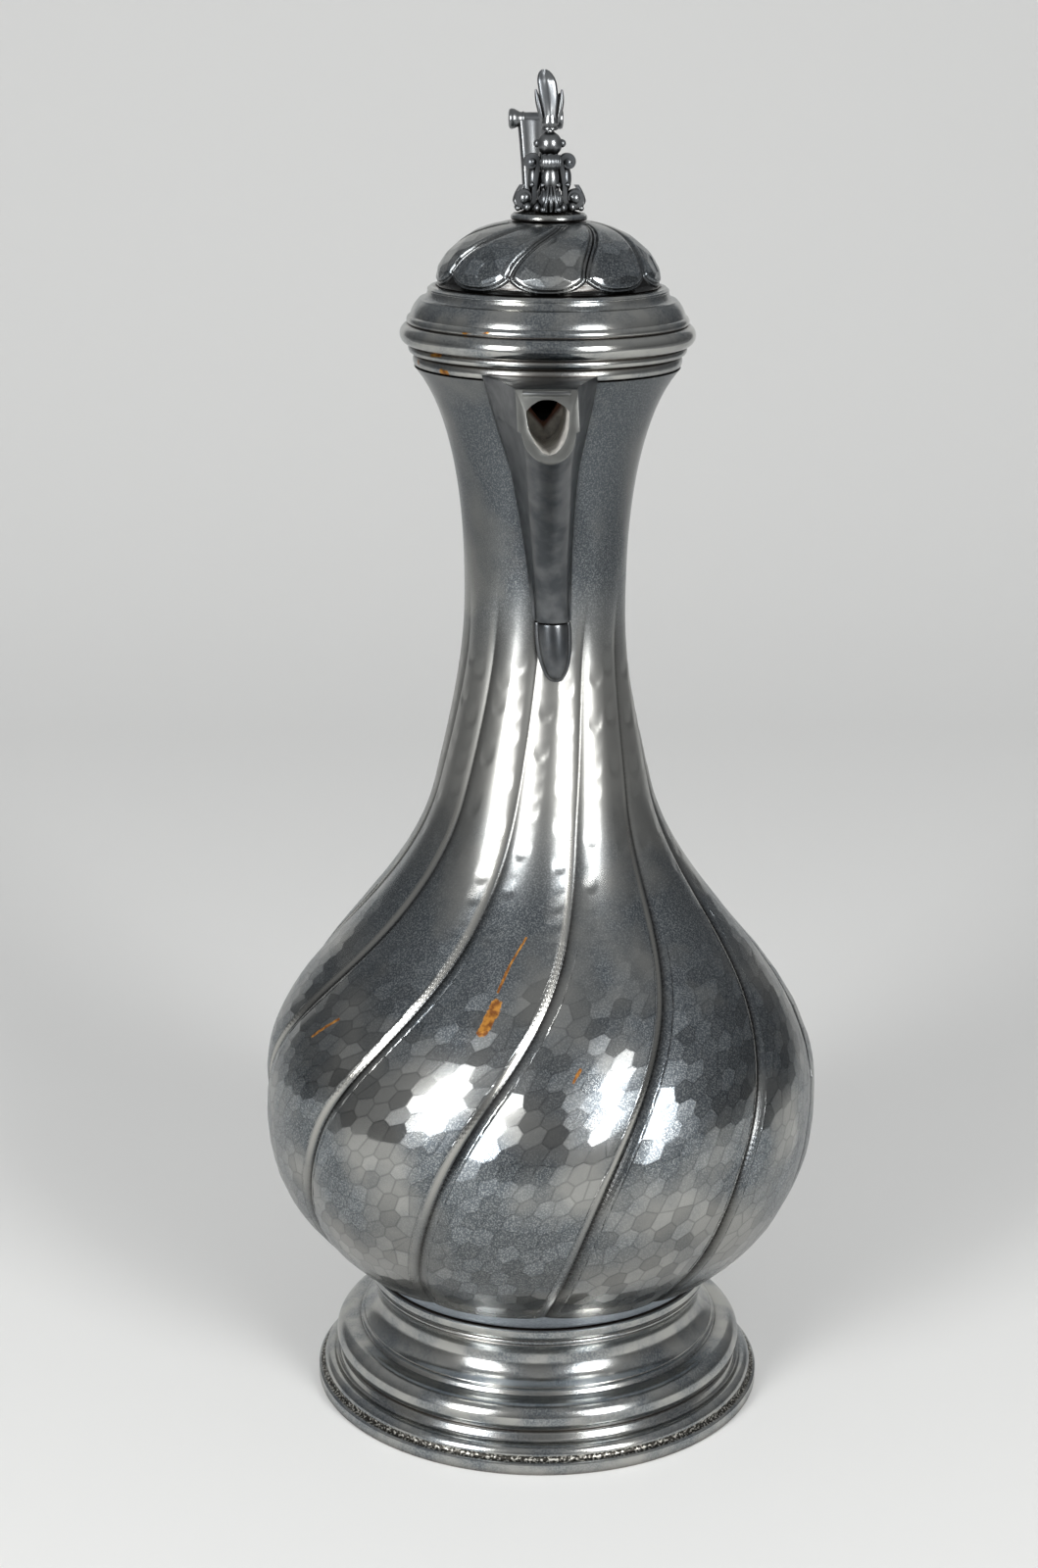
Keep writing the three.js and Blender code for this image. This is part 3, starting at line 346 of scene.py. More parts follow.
finishes = {"hammered_pewter": hammered_pewter(), "turned_pewter": turned_pewter(), "cast_pewter": cast_pewter()}
for part in frame["record"]["subparts"]:
    mesh = nodes[part["node"]].data
    mesh.materials.clear()
    mesh.materials.append(finishes[part["material_slot"]])
print("finishes:", sorted(finishes))

# %% [markdown]
# Every piece is made the same way in the end: a mesh in millimetres goes in, modelling steps shape
# it, and one last step smooths it, gives it its finish, lets it ride on its body and hides the solids
# it stands for. Turned pieces come from one outline that a spin carries round the jug's axis.

# %% Helpers for pieces
def new_piece(name, points, edges, faces):
    """A mesh from points in millimetres, selected and active in object mode."""
    bpy.ops.object.select_all(action="DESELECT")
    mesh = bpy.data.meshes.new(name)
    mesh.from_pydata([(x * MM, y * MM, z * MM) for x, y, z in points], edges, faces)
    piece = bpy.data.objects.new(name, mesh)
    bpy.context.scene.collection.objects.link(piece)
    piece.select_set(True)
    bpy.context.view_layer.objects.active = piece
    return piece


def spin_outline(name, outline_points, steps, closed=True):
    """Spins a chain of (radius, height) points in millimetres round the jug's axis."""
    count = len(outline_points)
    chain = [(i, (i + 1) % count) for i in range(count if closed else count - 1)]
    piece = new_piece(name, [(0, -r, z) for r, z in outline_points], chain, [])
    bpy.ops.object.mode_set(mode="EDIT")
    bpy.ops.mesh.select_all(action="SELECT")
    bpy.ops.mesh.spin(steps=steps, angle=2 * math.pi, center=(0, 0, 0), axis=(0, 0, 1))
    bpy.ops.mesh.select_all(action="SELECT")
    bpy.ops.mesh.remove_doubles(threshold=0.002 * MM)
    bpy.ops.mesh.normals_make_consistent(inside=False)
    bpy.ops.object.mode_set(mode="OBJECT")
    return piece


def loft_rings(name, rings):
    """A closed skin through rings of equal count, in millimetres, with a face on each end."""
    count = len(rings[0])
    points = [tuple(point) for ring in rings for point in ring]
    faces = []
    for row in range(len(rings) - 1):
        for i in range(count):
            a, b = row * count + i, row * count + (i + 1) % count
            faces.append((a, b, b + count, a + count))
    last = (len(rings) - 1) * count
    faces += [tuple(range(count))[::-1], tuple(range(last, last + count))]
    piece = new_piece(name, points, [], faces)
    bpy.ops.object.mode_set(mode="EDIT")
    bpy.ops.mesh.select_all(action="SELECT")
    bpy.ops.mesh.normals_make_consistent(inside=False)
    bpy.ops.object.mode_set(mode="OBJECT")
    return piece


def extruded(name, corners, offset):
    """A flat outline of (x, y, z) corners in millimetres, extruded by an offset into a solid."""
    piece = new_piece(name, corners, [], [tuple(range(len(corners)))])
    bpy.ops.object.mode_set(mode="EDIT")
    bpy.ops.mesh.select_all(action="SELECT")
    bpy.ops.mesh.extrude_region_move(TRANSFORM_OT_translate={"value": [value * MM for value in offset]})
    bpy.ops.mesh.select_all(action="SELECT")
    bpy.ops.mesh.normals_make_consistent(inside=False)
    bpy.ops.object.mode_set(mode="OBJECT")
    return piece


def apply_modifier(piece, kind, options):
    """Adds a modifier with its options and applies it."""
    bpy.ops.object.select_all(action="DESELECT")
    piece.select_set(True)
    bpy.context.view_layer.objects.active = piece
    modifier = piece.modifiers.new(kind.lower(), kind)
    for option, value in options.items():
        setattr(modifier, option, value)
    bpy.ops.object.modifier_apply(modifier=modifier.name)


def cut_away(piece, cutter):
    """Takes the cutter from the piece and deletes the cutter."""
    apply_modifier(piece, "BOOLEAN", {"operation": "DIFFERENCE", "solver": "EXACT", "object": cutter})
    bpy.data.objects.remove(cutter, do_unlink=True)


def soften(piece, width, segments=2, degrees=40):
    """Rounds the piece's sharp edges by a width in millimetres."""
    apply_modifier(piece, "BEVEL", {"width": width * MM, "segments": segments, "limit_method": "ANGLE",
                                    "angle_limit": math.radians(degrees), "harden_normals": False,
                                    "use_clamp_overlap": True})


def join_pieces(pieces):
    """Joins objects into the first of them."""
    bpy.ops.object.select_all(action="DESELECT")
    for piece in pieces:
        piece.select_set(True)
    bpy.context.view_layer.objects.active = pieces[0]
    bpy.ops.object.join()
    return pieces[0]


def dress(piece, body, cad_names, slot_name, smooth_degrees=35):
    """Gives a finished piece its shading, its finish and its body, and hides the solids it stands for."""
    piece.data.materials.clear()
    piece.data.materials.append(finishes[slot_name])
    bpy.ops.object.select_all(action="DESELECT")
    piece.select_set(True)
    bpy.context.view_layer.objects.active = piece
    bpy.ops.object.shade_smooth_by_angle(angle=math.radians(smooth_degrees))
    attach(piece, body)
    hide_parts(*cad_names)
    piece.data.calc_loop_triangles()
    print(piece.name, "triangles:", len(piece.data.loop_triangles))


def coordinates(mesh):
    values = np.empty(len(mesh.vertices) * 3)
    mesh.vertices.foreach_get("co", values)
    return values.reshape(-1, 3) / MM


def set_coordinates(mesh, points):
    mesh.vertices.foreach_set("co", (points * MM).ravel())
    mesh.update()

# %% [markdown]
# The bulb and the neck are one outline, from the collar on the foot to the brim. A smith draws it
# as a few sweeping curves, so it is written here as five curves that pass from one to the next
# without a kink. Every later step asks for the radius at a height or at a distance along the curve.

# %% Outline of the body
BASE = (46.3, 34.9)
BULGE = (76.1, 85.5)
SHOULDER = (56.8, 129.3)
THROAT = (29.1, 173.8)
NECK = (21.25, 227.0)
BRIM = (34.3, 284.6)
WALL = 1.8


def sweep_curve(start, start_degrees, start_reach, end, end_degrees, end_reach, steps=160):
    """Points of a cubic curve given by its ends, its directions there and their handles' lengths."""
    a, b = math.radians(start_degrees), math.radians(end_degrees)
    p0, p3 = np.array(start, float), np.array(end, float)
    p1 = p0 + start_reach * np.array([math.cos(a), math.sin(a)])
    p2 = p3 - end_reach * np.array([math.cos(b), math.sin(b)])
    t = np.linspace(0, 1, steps)[:, None]
    return (1 - t) ** 3 * p0 + 3 * t * (1 - t) ** 2 * p1 + 3 * t ** 2 * (1 - t) * p2 + t ** 3 * p3


outline = np.vstack([
    sweep_curve(BASE, 40, 14.2, BULGE, 90, 31.4)[:-1],
    sweep_curve(BULGE, 90, 9.6, SHOULDER, 130, 30.2)[:-1],
    sweep_curve(SHOULDER, 130, 18.7, THROAT, 103, 17.4)[:-1],
    sweep_curve(THROAT, 103, 26.6, NECK, 90, 16.0)[:-1],
    sweep_curve(NECK, 90, 35.4, BRIM, 48, 8.25),
])
arcs = np.concatenate([[0], np.cumsum(np.hypot(*np.diff(outline, axis=0).T))])
print("outline of the body, mm along the curve:", round(arcs[-1], 1))


def arc_at(z):
    return np.interp(z, outline[:, 1], arcs)


def height_at(arc):
    return np.interp(arc, arcs, outline[:, 1])


def radius_at(z):
    return np.interp(z, outline[:, 1], outline[:, 0])

# %% [markdown]
# Eleven flutes twist round the body. Each is a soft lobe between two sharp creases, as a chaser
# leaves it: the crease is struck in a line, and the metal beside it swells back. The twist grows
# fastest over the shoulder, and on the neck the flutes grow shallow and end.

# %% Flutes
FLUTES = 11
FIRST_FLUTE = -24.5
TWIST_PER_MM = 0.226
SHOULDER_TWIST = 20.0
TWIST_SPREAD = 26.7
CREASE_WIDTH = 2.4
CREASE_BOTTOM = 0.16
CREASE_SHARE = 0.65
SHADOW_LEFT, SHADOW_RIGHT = 1.2, 2.9


def smooth_step(x, low, high):
    t = np.clip((x - low) / (high - low), 0, 1)
    return t * t * (3 - 2 * t)


def pitch_at(z):
    """Width of one flute, measured round the body."""
    return 2 * np.pi * radius_at(z) / FLUTES


def flute_turn(z):
    """Turn of the flutes at a height, in radians from the spout towards +X."""
    rise = z - BULGE[1]
    swell = (np.tanh((rise - 35) / TWIST_SPREAD) + 1) / 2
    return np.radians(FIRST_FLUTE + TWIST_PER_MM * rise + SHOULDER_TWIST * swell)


def flute_depth(z):
    size = np.clip((radius_at(z) - NECK[0]) / (BULGE[0] - NECK[0]), 0, 1)
    fade_in = smooth_step(z, BASE[1] - 5, BASE[1] + 10)
    fade_out = 1 - smooth_step(z, NECK[1] - 16, NECK[1] + 6)
    return (0.9 + 1.5 * size) * fade_in * fade_out


def skin(z, share, flute, inset=0.0):
    """Points of the fluted skin, in millimetres. A share of 0 and of 1 are the flute's creases."""
    reach = np.minimum(share, 1 - share) * pitch_at(z)
    crease = np.exp(-np.hypot(reach, CREASE_BOTTOM) / CREASE_WIDTH)
    swell = 1 - np.sin(np.pi * share)
    r = radius_at(z) - inset - flute_depth(z) * (CREASE_SHARE * crease + (1 - CREASE_SHARE) * swell)
    angle = flute_turn(z) + (flute + share) * 2 * np.pi / FLUTES
    return np.stack([r * np.sin(angle), -r * np.cos(angle), z], axis=-1)


def near_crease(reach, z, width):
    """Painted shade of a crease: from 1 in a deep crease down to 0 at a width beside it, which is greater under the
    bulb.
    """
    width = width * (1.8 - 0.8 * smooth_step(z, 55, 95))
    return np.clip(1 - reach / width, 0, 1) ** 2 * np.clip(flute_depth(z) / 1.6, 0, 1)


def strip_highlight_at(reach, z):
    """1 on the strip beside the crease that is painted lighter as a highlight, and 0 at its edges."""
    rise = smooth_step(reach, 0.2, 0.9) * (1 - smooth_step(reach, 1.9, STRIP))
    return rise * np.clip(flute_depth(z) / 1.2, 0, 1) * smooth_step(z, 55, 95)


def skin_normal(z, share, flute):
    step_z, step_share = 0.4, 0.01
    up = skin(z + step_z, share, flute) - skin(z - step_z, share, flute)
    along = skin(z, share + step_share, flute) - skin(z, share - step_share, flute)
    normal = np.cross(along, up)
    return normal / np.linalg.norm(normal, axis=-1, keepdims=True)


# %% [markdown]
# A planishing hammer with a flat face leaves the skin covered in small flat facets, about five
# millimetres wide, that meet in faint ridges. Beside each crease the smith keeps clear of the line
# with longer blows, so a smooth strip stays there. Seen flat, the blows are cells: every spot belongs
# to its nearest blow. A displaced grid would blur the ridges, so each cell becomes one flat polygon.
# First come the middles of the blows, flute by flute, as distances along the outline and across.

# %% Blows
WIDE_BLOW = 5.1
NARROW_BLOW = 3.8
LONG_BLOW = 5.9
STRIP = 3.0
HAMMERED_LOW = 42.2
HAMMERED_TOP = 143.0
low_arc, top_arc = float(arc_at(HAMMERED_LOW)), float(arc_at(HAMMERED_TOP))
rng = np.random.default_rng(11)


def half_band(arc):
    """Half the width of the hammered part of a flute."""
    return pitch_at(height_at(arc)) / 2 - STRIP


def blow_width(z):
    """The blows grow narrower and longer where the body grows slim."""
    return NARROW_BLOW + (WIDE_BLOW - NARROW_BLOW) * smooth_step(radius_at(z), 24, 60)


def blows_in_flute():
    """Middles of one flute's blows. The rows are staggered, and the outer columns are longer."""
    blows = []
    for side in (-1, 1):
        arc = low_arc + rng.uniform(-4, 2)
        while arc < top_arc + 4:
            near = min(max(arc, low_arc), top_arc)
            band, width = half_band(near), blow_width(height_at(near))
            blows.append((arc, side * (band - width * 0.42) + rng.uniform(-0.2, 0.2)))
            arc += LONG_BLOW * rng.uniform(0.85, 1.15)
    arc, row = low_arc + rng.uniform(0, 3), 0
    while arc < top_arc:
        width = blow_width(height_at(arc))
        band = half_band(arc) - width * 0.9
        if band > 0.3 * width:
            columns = max(1, round(2 * band / width))
            odd = row % 2 if columns > 1 else 0
            stagger = 0.5 * odd
            for column in range(columns + odd):
                across = ((column + 0.5 - stagger) / columns * 2 - 1) * band
                blows.append((arc + rng.uniform(-0.6, 0.6), across + rng.uniform(-0.12, 0.12) * width))
        arc += 0.91 * width * rng.uniform(0.95, 1.05)
        row += 1
    return np.array(blows)


# %% [markdown]
# The cell of a blow starts as a square round its middle. Each neighbour cuts off what lies nearer to
# itself, and the edges of the hammered band cut the rest, so that the outer cells end on the strips.

# %% Cells
def clip(polygon, normal, limit):
    """Keeps the part of a polygon where normal · point is at most limit."""
    kept = []
    for a, b in zip(polygon, polygon[1:] + polygon[:1]):
        side_a = normal[0] * a[0] + normal[1] * a[1] - limit
        side_b = normal[0] * b[0] + normal[1] * b[1] - limit
        if side_a <= 0:
            kept.append(a)
        if side_a * side_b < 0:
            t = side_a / (side_a - side_b)
            kept.append((a[0] + t * (b[0] - a[0]), a[1] + t * (b[1] - a[1])))
    return kept


def cells_of(blows, low, high, band):
    """One polygon for each blow, inside low..high and within the band's half-width."""
    tree = KDTree(len(blows))
    for i, (arc, across) in enumerate(blows):
        tree.insert((arc, across, 0), i)
    tree.balance()
    cells = []
    for arc, across in blows:
        size = 2 * WIDE_BLOW
        cell = [(arc - size, across - size), (arc + size, across - size),
                (arc + size, across + size), (arc - size, across + size)]
        for place, _, gap in tree.find_n((arc, across, 0), 16)[1:]:
            direction = ((place[0] - arc) / gap, (place[1] - across) / gap)
            middle = direction[0] * (arc + place[0]) / 2 + direction[1] * (across + place[1]) / 2
            cell = clip(cell, direction, middle)
        cell = clip(clip(cell, (-1, 0), -low), (1, 0), high)
        near = min(max(arc, low), high)
        slope = (band(near + 1) - band(near - 1)) / 2
        for side in (-1, 1):
            cell = clip(cell, (-slope, side), band(near) - slope * near)
        cells.append(cell)
    return cells


def merged(points, reach):
    """For each point, the number of the first point that lies within reach of it."""
    tree = KDTree(len(points))
    for i, point in enumerate(points):
        tree.insert(point, i)
    tree.balance()
    first = list(range(len(points)))
    for i, point in enumerate(points):
        if first[i] == i:
            for _, j, _ in tree.find_range(point, reach):
                if j > i and first[j] == j:
                    first[j] = i
    return first


# %% [markdown]
# Each blow has a plane, laid through the skin where the blow's rim is and then tilted by a degree
# or so, which makes one facet flash and the next stay dark. A corner where three cells meet takes
# the mean of their three planes.

# %% Hammered band
TILT_DEGREES = 1.35
RIM = 2.1
BLOW_SINK = 0.2


def blow_planes(z, share, flute):
    """A point and a normal for each blow, from four points of the skin near its rim."""
    width = RIM / pitch_at(z)
    left, right = skin(z, share - width, flute), skin(z, share + width, flute)
    low, high = skin(z - RIM, share, flute), skin(z + RIM, share, flute)
    planes = np.cross(right - left, high - low)
    planes /= np.linalg.norm(planes, axis=1, keepdims=True)
    planes += rng.normal(0, math.radians(TILT_DEGREES), planes.shape)
    planes /= np.linalg.norm(planes, axis=1, keepdims=True)
    return (left + right + low + high) / 4, planes


def hammered_cells(flute):
    """Points, faces and the corners' places along the outline, for one flute."""
    blows = blows_in_flute()
    middle_z = height_at(blows[:, 0])
    middles, planes = blow_planes(middle_z, blows[:, 1] / pitch_at(middle_z) + 0.5, flute)
    cells = cells_of(blows, low_arc, top_arc, half_band)
    corners = np.array([(arc, across, 0) for cell in cells for arc, across in cell])
    owner = np.array([i for i, cell in enumerate(cells) for _ in cell])
    first = np.array(merged(corners.tolist(), 0.25))
    z = height_at(corners[:, 0])
    share = corners[:, 1] / pitch_at(z) + 0.5
    base, normal = skin(z, share, flute), skin_normal(z, share, flute)
    lift = np.einsum("ij,ij->i", middles[owner] - base, planes[owner])
    lift /= np.einsum("ij,ij->i", normal, planes[owner])
    used, place = np.unique(first, return_inverse=True)
    mean_lift = np.bincount(place, weights=lift) / np.bincount(place)
    mean_lift = (mean_lift.clip(-0.3, 0.3) - BLOW_SINK) * (1 - smooth_step(z[used], HAMMERED_TOP - 16, HAMMERED_TOP))
    points = base[used] + normal[used] * mean_lift[:, None]
    faces, start = [], 0
    for cell in cells:
        ring = [int(place[start + k]) for k in range(len(cell))]
        start += len(cell)
        ring = [a for a, b in zip(ring, ring[1:] + ring[:1]) if a != b]
        if len(ring) > 2:
            faces.append(ring)
    return points, faces, corners[used]


# %% [markdown]
# The smooth strips beside a crease are narrow rows of quads, finest at the crease itself. A zip of
# triangles joins their even rows to the uneven edge of the cells.

# %% Strips
STRIP_LINES = (0.0, 0.3, 0.7, 1.2, 1.8, 2.5)
ROW = 1.25
strip_arcs = np.linspace(low_arc, top_arc, round((top_arc - low_arc) / ROW) + 1)


def zip_chains(first, second):
    """Triangles between two chains of (point number, distance along the outline)."""
    faces, i, j = [], 0, 0
    while i < len(first) - 1 or j < len(second) - 1:
        if j == len(second) - 1 or (i < len(first) - 1 and first[i + 1][1] <= second[j + 1][1]):
            faces.append((first[i][0], first[i + 1][0], second[j][0]))
            i += 1
        else:
            faces.append((first[i][0], second[j + 1][0], second[j][0]))
            j += 1
    return faces


points, crease, strip_highlight, cell_faces, strip_faces, strip_numbers = [], [], [], [], [], set()
for flute in range(FLUTES):
    flute_points, faces, places = hammered_cells(flute)
    offset = len(points)
    points.extend(flute_points.tolist())
    crease.extend([0.0] * len(flute_points))
    strip_highlight.extend([0.0] * len(flute_points))
    cell_faces.extend([[offset + i for i in face] for face in faces])
    edge_gap = half_band(places[:, 0]) - np.abs(places[:, 1])
    for side in (-1, 1):
        z = height_at(strip_arcs)
        start = len(points)
        for reach in STRIP_LINES:
            share = 0.5 + side * (0.5 - reach / pitch_at(z))
            points.extend(skin(z, share, flute).tolist())
        strip_numbers.update(range(start, len(points)))
        reach = np.array(STRIP_LINES)[:, None]
        # The crease values set painted shade, wider on the right of a crease.
        crease.extend(near_crease(reach, z, SHADOW_LEFT if side > 0 else SHADOW_RIGHT).ravel())
        # The strip values set a painted highlight on the left of a crease.
        strip_highlight.extend((strip_highlight_at(reach, z) * (side > 0)).ravel())
        rows = len(strip_arcs)
        for line in range(len(STRIP_LINES) - 1):
            for row in range(rows - 1):
                a = start + line * rows + row
                strip_faces.append((a, a + 1, a + 1 + rows, a + rows))
        on_edge = [(arc, offset + i) for i, (arc, across, _) in enumerate(places)
                   if edge_gap[i] < 0.15 and across * side > 0]
        edge_chain = [(number, arc) for arc, number in sorted(on_edge)]
        last_line = start + (len(STRIP_LINES) - 1) * rows
        strip_faces.extend(zip_chains(edge_chain, [(last_line + k, arc) for k, arc in enumerate(strip_arcs)]))
print("hammer blows on the body:", len(cell_faces), "faces of the strips:", len(strip_faces))

# %% [markdown]
# An inset on every cell, sunk by a twentieth of a millimetre, makes the ridges between the blows narrow
# bevels that catch the light. Four values go with the skin for its finish: a random shade for each
# blow, the ridges between the blows and the creases, which get painted shade, and the strips on the
# creases' left, which get a painted highlight. The neck above, the brim, the inside and the bottom are
# spun, joined on and bridged, so the body is one closed skin.

# %% Hammered skin
hammered = new_piece("body_hammered", points, [], cell_faces + strip_faces)
shade = np.zeros(len(hammered.data.polygons))
shade[:len(cell_faces)] = rng.uniform(-1, 1, len(cell_faces))
shade *= 1 - smooth_step(np.array([p.center.z for p in hammered.data.polygons]) / MM, 125, HAMMERED_TOP)
hammered.data.attributes.new("blow", "FLOAT", "FACE").data.foreach_set("value", shade)
hammered.data.attributes.new("crease", "FLOAT", "POINT").data.foreach_set("value", crease)
hammered.data.attributes.new("strip_highlight", "FLOAT", "POINT").data.foreach_set("value", strip_highlight)
hammered.data.polygons.foreach_set("select", [i < len(cell_faces) for i in range(len(shade))])
bpy.ops.object.mode_set(mode="EDIT")
bpy.ops.mesh.select_mode(type="FACE")
bpy.ops.mesh.inset(thickness=0.45 * MM, depth=-0.05 * MM, use_individual=True, use_even_offset=False)
bpy.ops.object.mode_set(mode="OBJECT")
# The ridge values mark the bevels round the cells, which get painted shade in the finish.
ridge = np.ones(len(hammered.data.vertices))
ridge[:len(points)] = [0.0 if i in strip_numbers else 1.0 for i in range(len(points))]
for polygon in hammered.data.polygons:
    if polygon.select:
        ridge[list(polygon.vertices)] = 0
ridge *= 1 - smooth_step(coordinates(hammered.data)[:, 2], 120, HAMMERED_TOP - 2)
hammered.data.attributes.new("ridge", "FLOAT", "POINT").data.foreach_set("value", ridge)
bpy.ops.object.mode_set(mode="EDIT")
bpy.ops.mesh.select_mode(type="VERT")
bpy.ops.mesh.select_all(action="SELECT")
bpy.ops.mesh.remove_doubles(threshold=0.004 * MM)
bpy.ops.object.mode_set(mode="OBJECT")

# %% [markdown]
# Towards the neck the hammer only touched the metal beside each crease. Its marks lie over each other
# like shingles there: each ends below in a crisp curved edge and fades out above. The columns of the
# grid are turned with the flutes, so that one runs along every crease. Below the flutes runs a plain
# band, set in a little, where the bulb was soldered to its foot; the flutes die out on its upper edge.

# %% Neck, inside and bottom
NECK_COLUMNS = 36 * FLUTES
DENT_DEPTH = 0.32
DENT_WIDTH = 2.2
DENT_REACH = 4.3
BAND_SINK = 0.8


def rows_between(low, high, spacing):
    """Heights from low to high, evenly spaced along the outline."""
    count = max(2, round((arc_at(high) - arc_at(low)) / spacing))
    return height_at(np.linspace(arc_at(low), arc_at(high), count + 1))


def inside_chain(heights):
    """The outline moved in by the wall, square to the curve."""
    chain = []
    for z in heights:
        arc = arc_at(z)
        ahead, behind = min(arc + 0.5, arcs[-1]), max(arc - 0.5, 0)
        run = [np.interp(ahead, arcs, outline[:, k]) - np.interp(behind, arcs, outline[:, k]) for k in (0, 1)]
        length = math.hypot(*run)
        chain.append((radius_at(z) - WALL * run[1] / length, z + WALL * run[0] / length))
    return chain


def neck_dents(z, share, flute):
    """Depth of the soft hammer marks beside the creases of the neck."""
    side = np.where(share < 0.5, 0, 1)
    across = (np.minimum(share, 1 - share) * pitch_at(z) - DENT_REACH) / DENT_WIDTH
    step = 5.9 + 0.9 * np.sin(flute * 2.3 + side)
    along = (arc_at(z) - 1.2 * across ** 2) / step + flute * 0.37 + side * 0.41
    number = np.floor(along)
    along -= number
    size = 0.55 + 0.45 * np.sin(number * 2.7 + flute * 1.9 + side)
    edge = smooth_step(along, 0, 0.14) * (1 - along)
    fade = smooth_step(z, HAMMERED_TOP, HAMMERED_TOP + 3) * (1 - smooth_step(z, 198, 225))
    return DENT_DEPTH * np.clip(1 - across ** 2, 0, 1) * edge * size * fade


def fluted(piece):
    """The points of a spun piece, turned with the flutes: plain, with the flutes, and their heights."""
    spun = coordinates(piece.data)
    z = spun[:, 2]
    shares = np.arctan2(spun[:, 0], -spun[:, 1]) / (2 * np.pi) % 1 * FLUTES
    flute = np.floor(shares + 1e-4)
    share = np.clip(shares - flute, 0, 1)
    radius = np.hypot(spun[:, 0], spun[:, 1])
    angle = shares * 2 * np.pi / FLUTES + flute_turn(np.maximum(z, BASE[1]))
    plain = np.stack([radius * np.sin(angle), -radius * np.cos(angle), z], axis=-1)
    gap = radius_at(z) - radius
    outside = gap < 0.05
    full = skin(z, share, flute, inset=gap + np.where(outside, neck_dents(z, share, flute), 0))
    reach = np.minimum(share, 1 - share) * pitch_at(z)
    # Painted shade beside the creases of the neck.
    near = near_crease(reach, z, np.where(share > 0.5, SHADOW_LEFT, SHADOW_RIGHT)) * outside
    piece.data.attributes.new("crease", "FLOAT", "POINT").data.foreach_set("value", near)
    # Painted highlight on the strip left of each crease.
    strip_highlight_here = strip_highlight_at(reach, z) * outside * (share > 0.5)
    piece.data.attributes.new("strip_highlight", "FLOAT", "POINT").data.foreach_set("value", strip_highlight_here)
    return plain, full, z


neck_rows = [*rows_between(HAMMERED_TOP + 0.8, 232, 0.8), *rows_between(235, BRIM[1] - 0.3, 3.0), BRIM[1]]
inside_rows = [*rows_between(180, BRIM[1], 8)[::-1][1:], *rows_between(BASE[1] + 1, 172, 12)[::-1]]
neck_piece = spin_outline(
    "neck_part",
    [(radius_at(z), z) for z in neck_rows] + [(BRIM[0] - WALL * 1.35, BRIM[1])] + inside_chain(inside_rows)
    + [(38, 36.2), (28.5, 31.3), (10, 29.8), (0, 29.6)], NECK_COLUMNS, closed=False)
plain, full, z = fluted(neck_piece)
full[z < BASE[1] + 1] = plain[z < BASE[1] + 1]
set_coordinates(neck_piece.data, full)

# %% Plain band
band_chain = [(0, 27.7), (12, 27.9), (30.1, 29.3), (40.7, 34.7), (46.2, 34.9)]
band_heights = (35.4, 36.2, 37.4, 38.6, 39.8, 40.7, 41.2, 41.5, 41.8, 42.0)
band_piece = spin_outline("band_part", band_chain + [(radius_at(z), z) for z in band_heights], NECK_COLUMNS,
                          closed=False)
plain, full, z = fluted(band_piece)
sink = BAND_SINK * smooth_step(z, 34.9, 37.5) * (1 - smooth_step(z, 40.9, 42.4))
inwards = plain / np.hypot(plain[:, 0], plain[:, 1])[:, None].clip(0.001)
blend = smooth_step(z, 40.2, 42.0)[:, None]
shaped = plain * (1 - blend) + full * blend
shaped[:, :2] -= (inwards * sink[:, None])[:, :2]
shaped[z < 35] = plain[z < 35]
set_coordinates(band_piece.data, shaped)
body = join_pieces([hammered, neck_piece, band_piece])


# %% Bridges
def bridge_at(piece, low, high):
    """Bridges the open edges between two heights in millimetres."""
    bpy.ops.mesh.select_all(action="DESELECT")
    mesh = bmesh.from_edit_mesh(piece.data)
    for edge in mesh.edges:
        middle = (edge.verts[0].co.z + edge.verts[1].co.z) / 2 / MM
        if edge.is_boundary and low < middle < high:
            edge.select_set(True)
    bmesh.update_edit_mesh(piece.data)
    bpy.ops.mesh.bridge_edge_loops()


bpy.ops.object.mode_set(mode="EDIT")
bridge_at(body, HAMMERED_TOP - 1, HAMMERED_TOP + 2)
bridge_at(body, HAMMERED_LOW - 1, HAMMERED_LOW + 0.6)
bpy.ops.mesh.select_all(action="SELECT")
bpy.ops.mesh.normals_make_consistent(inside=False)
open_edges = sum(edge.is_boundary for edge in bmesh.from_edit_mesh(body.data).edges)
bpy.ops.object.mode_set(mode="OBJECT")
print("open edges of the body:", open_edges)

# %% [markdown]
# Behind the spout a filed hole with three soft corners lets the wine through the wall of the neck.
# A Boolean takes it out: an outline is pushed through the wall and then thrown away.

# %% Spout hole
SPOUT_LEAN = 3.6
SPOUT_UPRIGHT = 232.9


def askew(z):
    """How far the leaning spout's middle lies to the side at a height."""
    return math.tan(math.radians(SPOUT_LEAN)) * (SPOUT_UPRIGHT - z)


half_hole = [(2.6, 283.0), (3.9, 282.7), (4.5, 281.7), (4.3, 280.4), (2.9, 277.9), (1.1, 275.1), (0.4, 274.5)]
hole = [(askew(z) + side * x, -20, z) for side, half in ((1, half_hole), (-1, half_hole[::-1])) for x, z in half]
cut_away(body, extruded("hole_cutter", hole, (0, -20, 0)))
dress(body, "jug", ["body_bowl", "body_neck"], "hammered_pewter")
apply_modifier(body, "WEIGHTED_NORMAL", {"weight": 45, "keep_sharp": True})

# %% [markdown]
# The foot is one casting, turned on a lathe: a flat-edged rim with a rough groove above it, a bead,
# a wide roll, two small steps and a hollow waist. Its outline is written as corners and true arcs,
# each arc given by its rise over its chord, and one spin makes the whole foot.

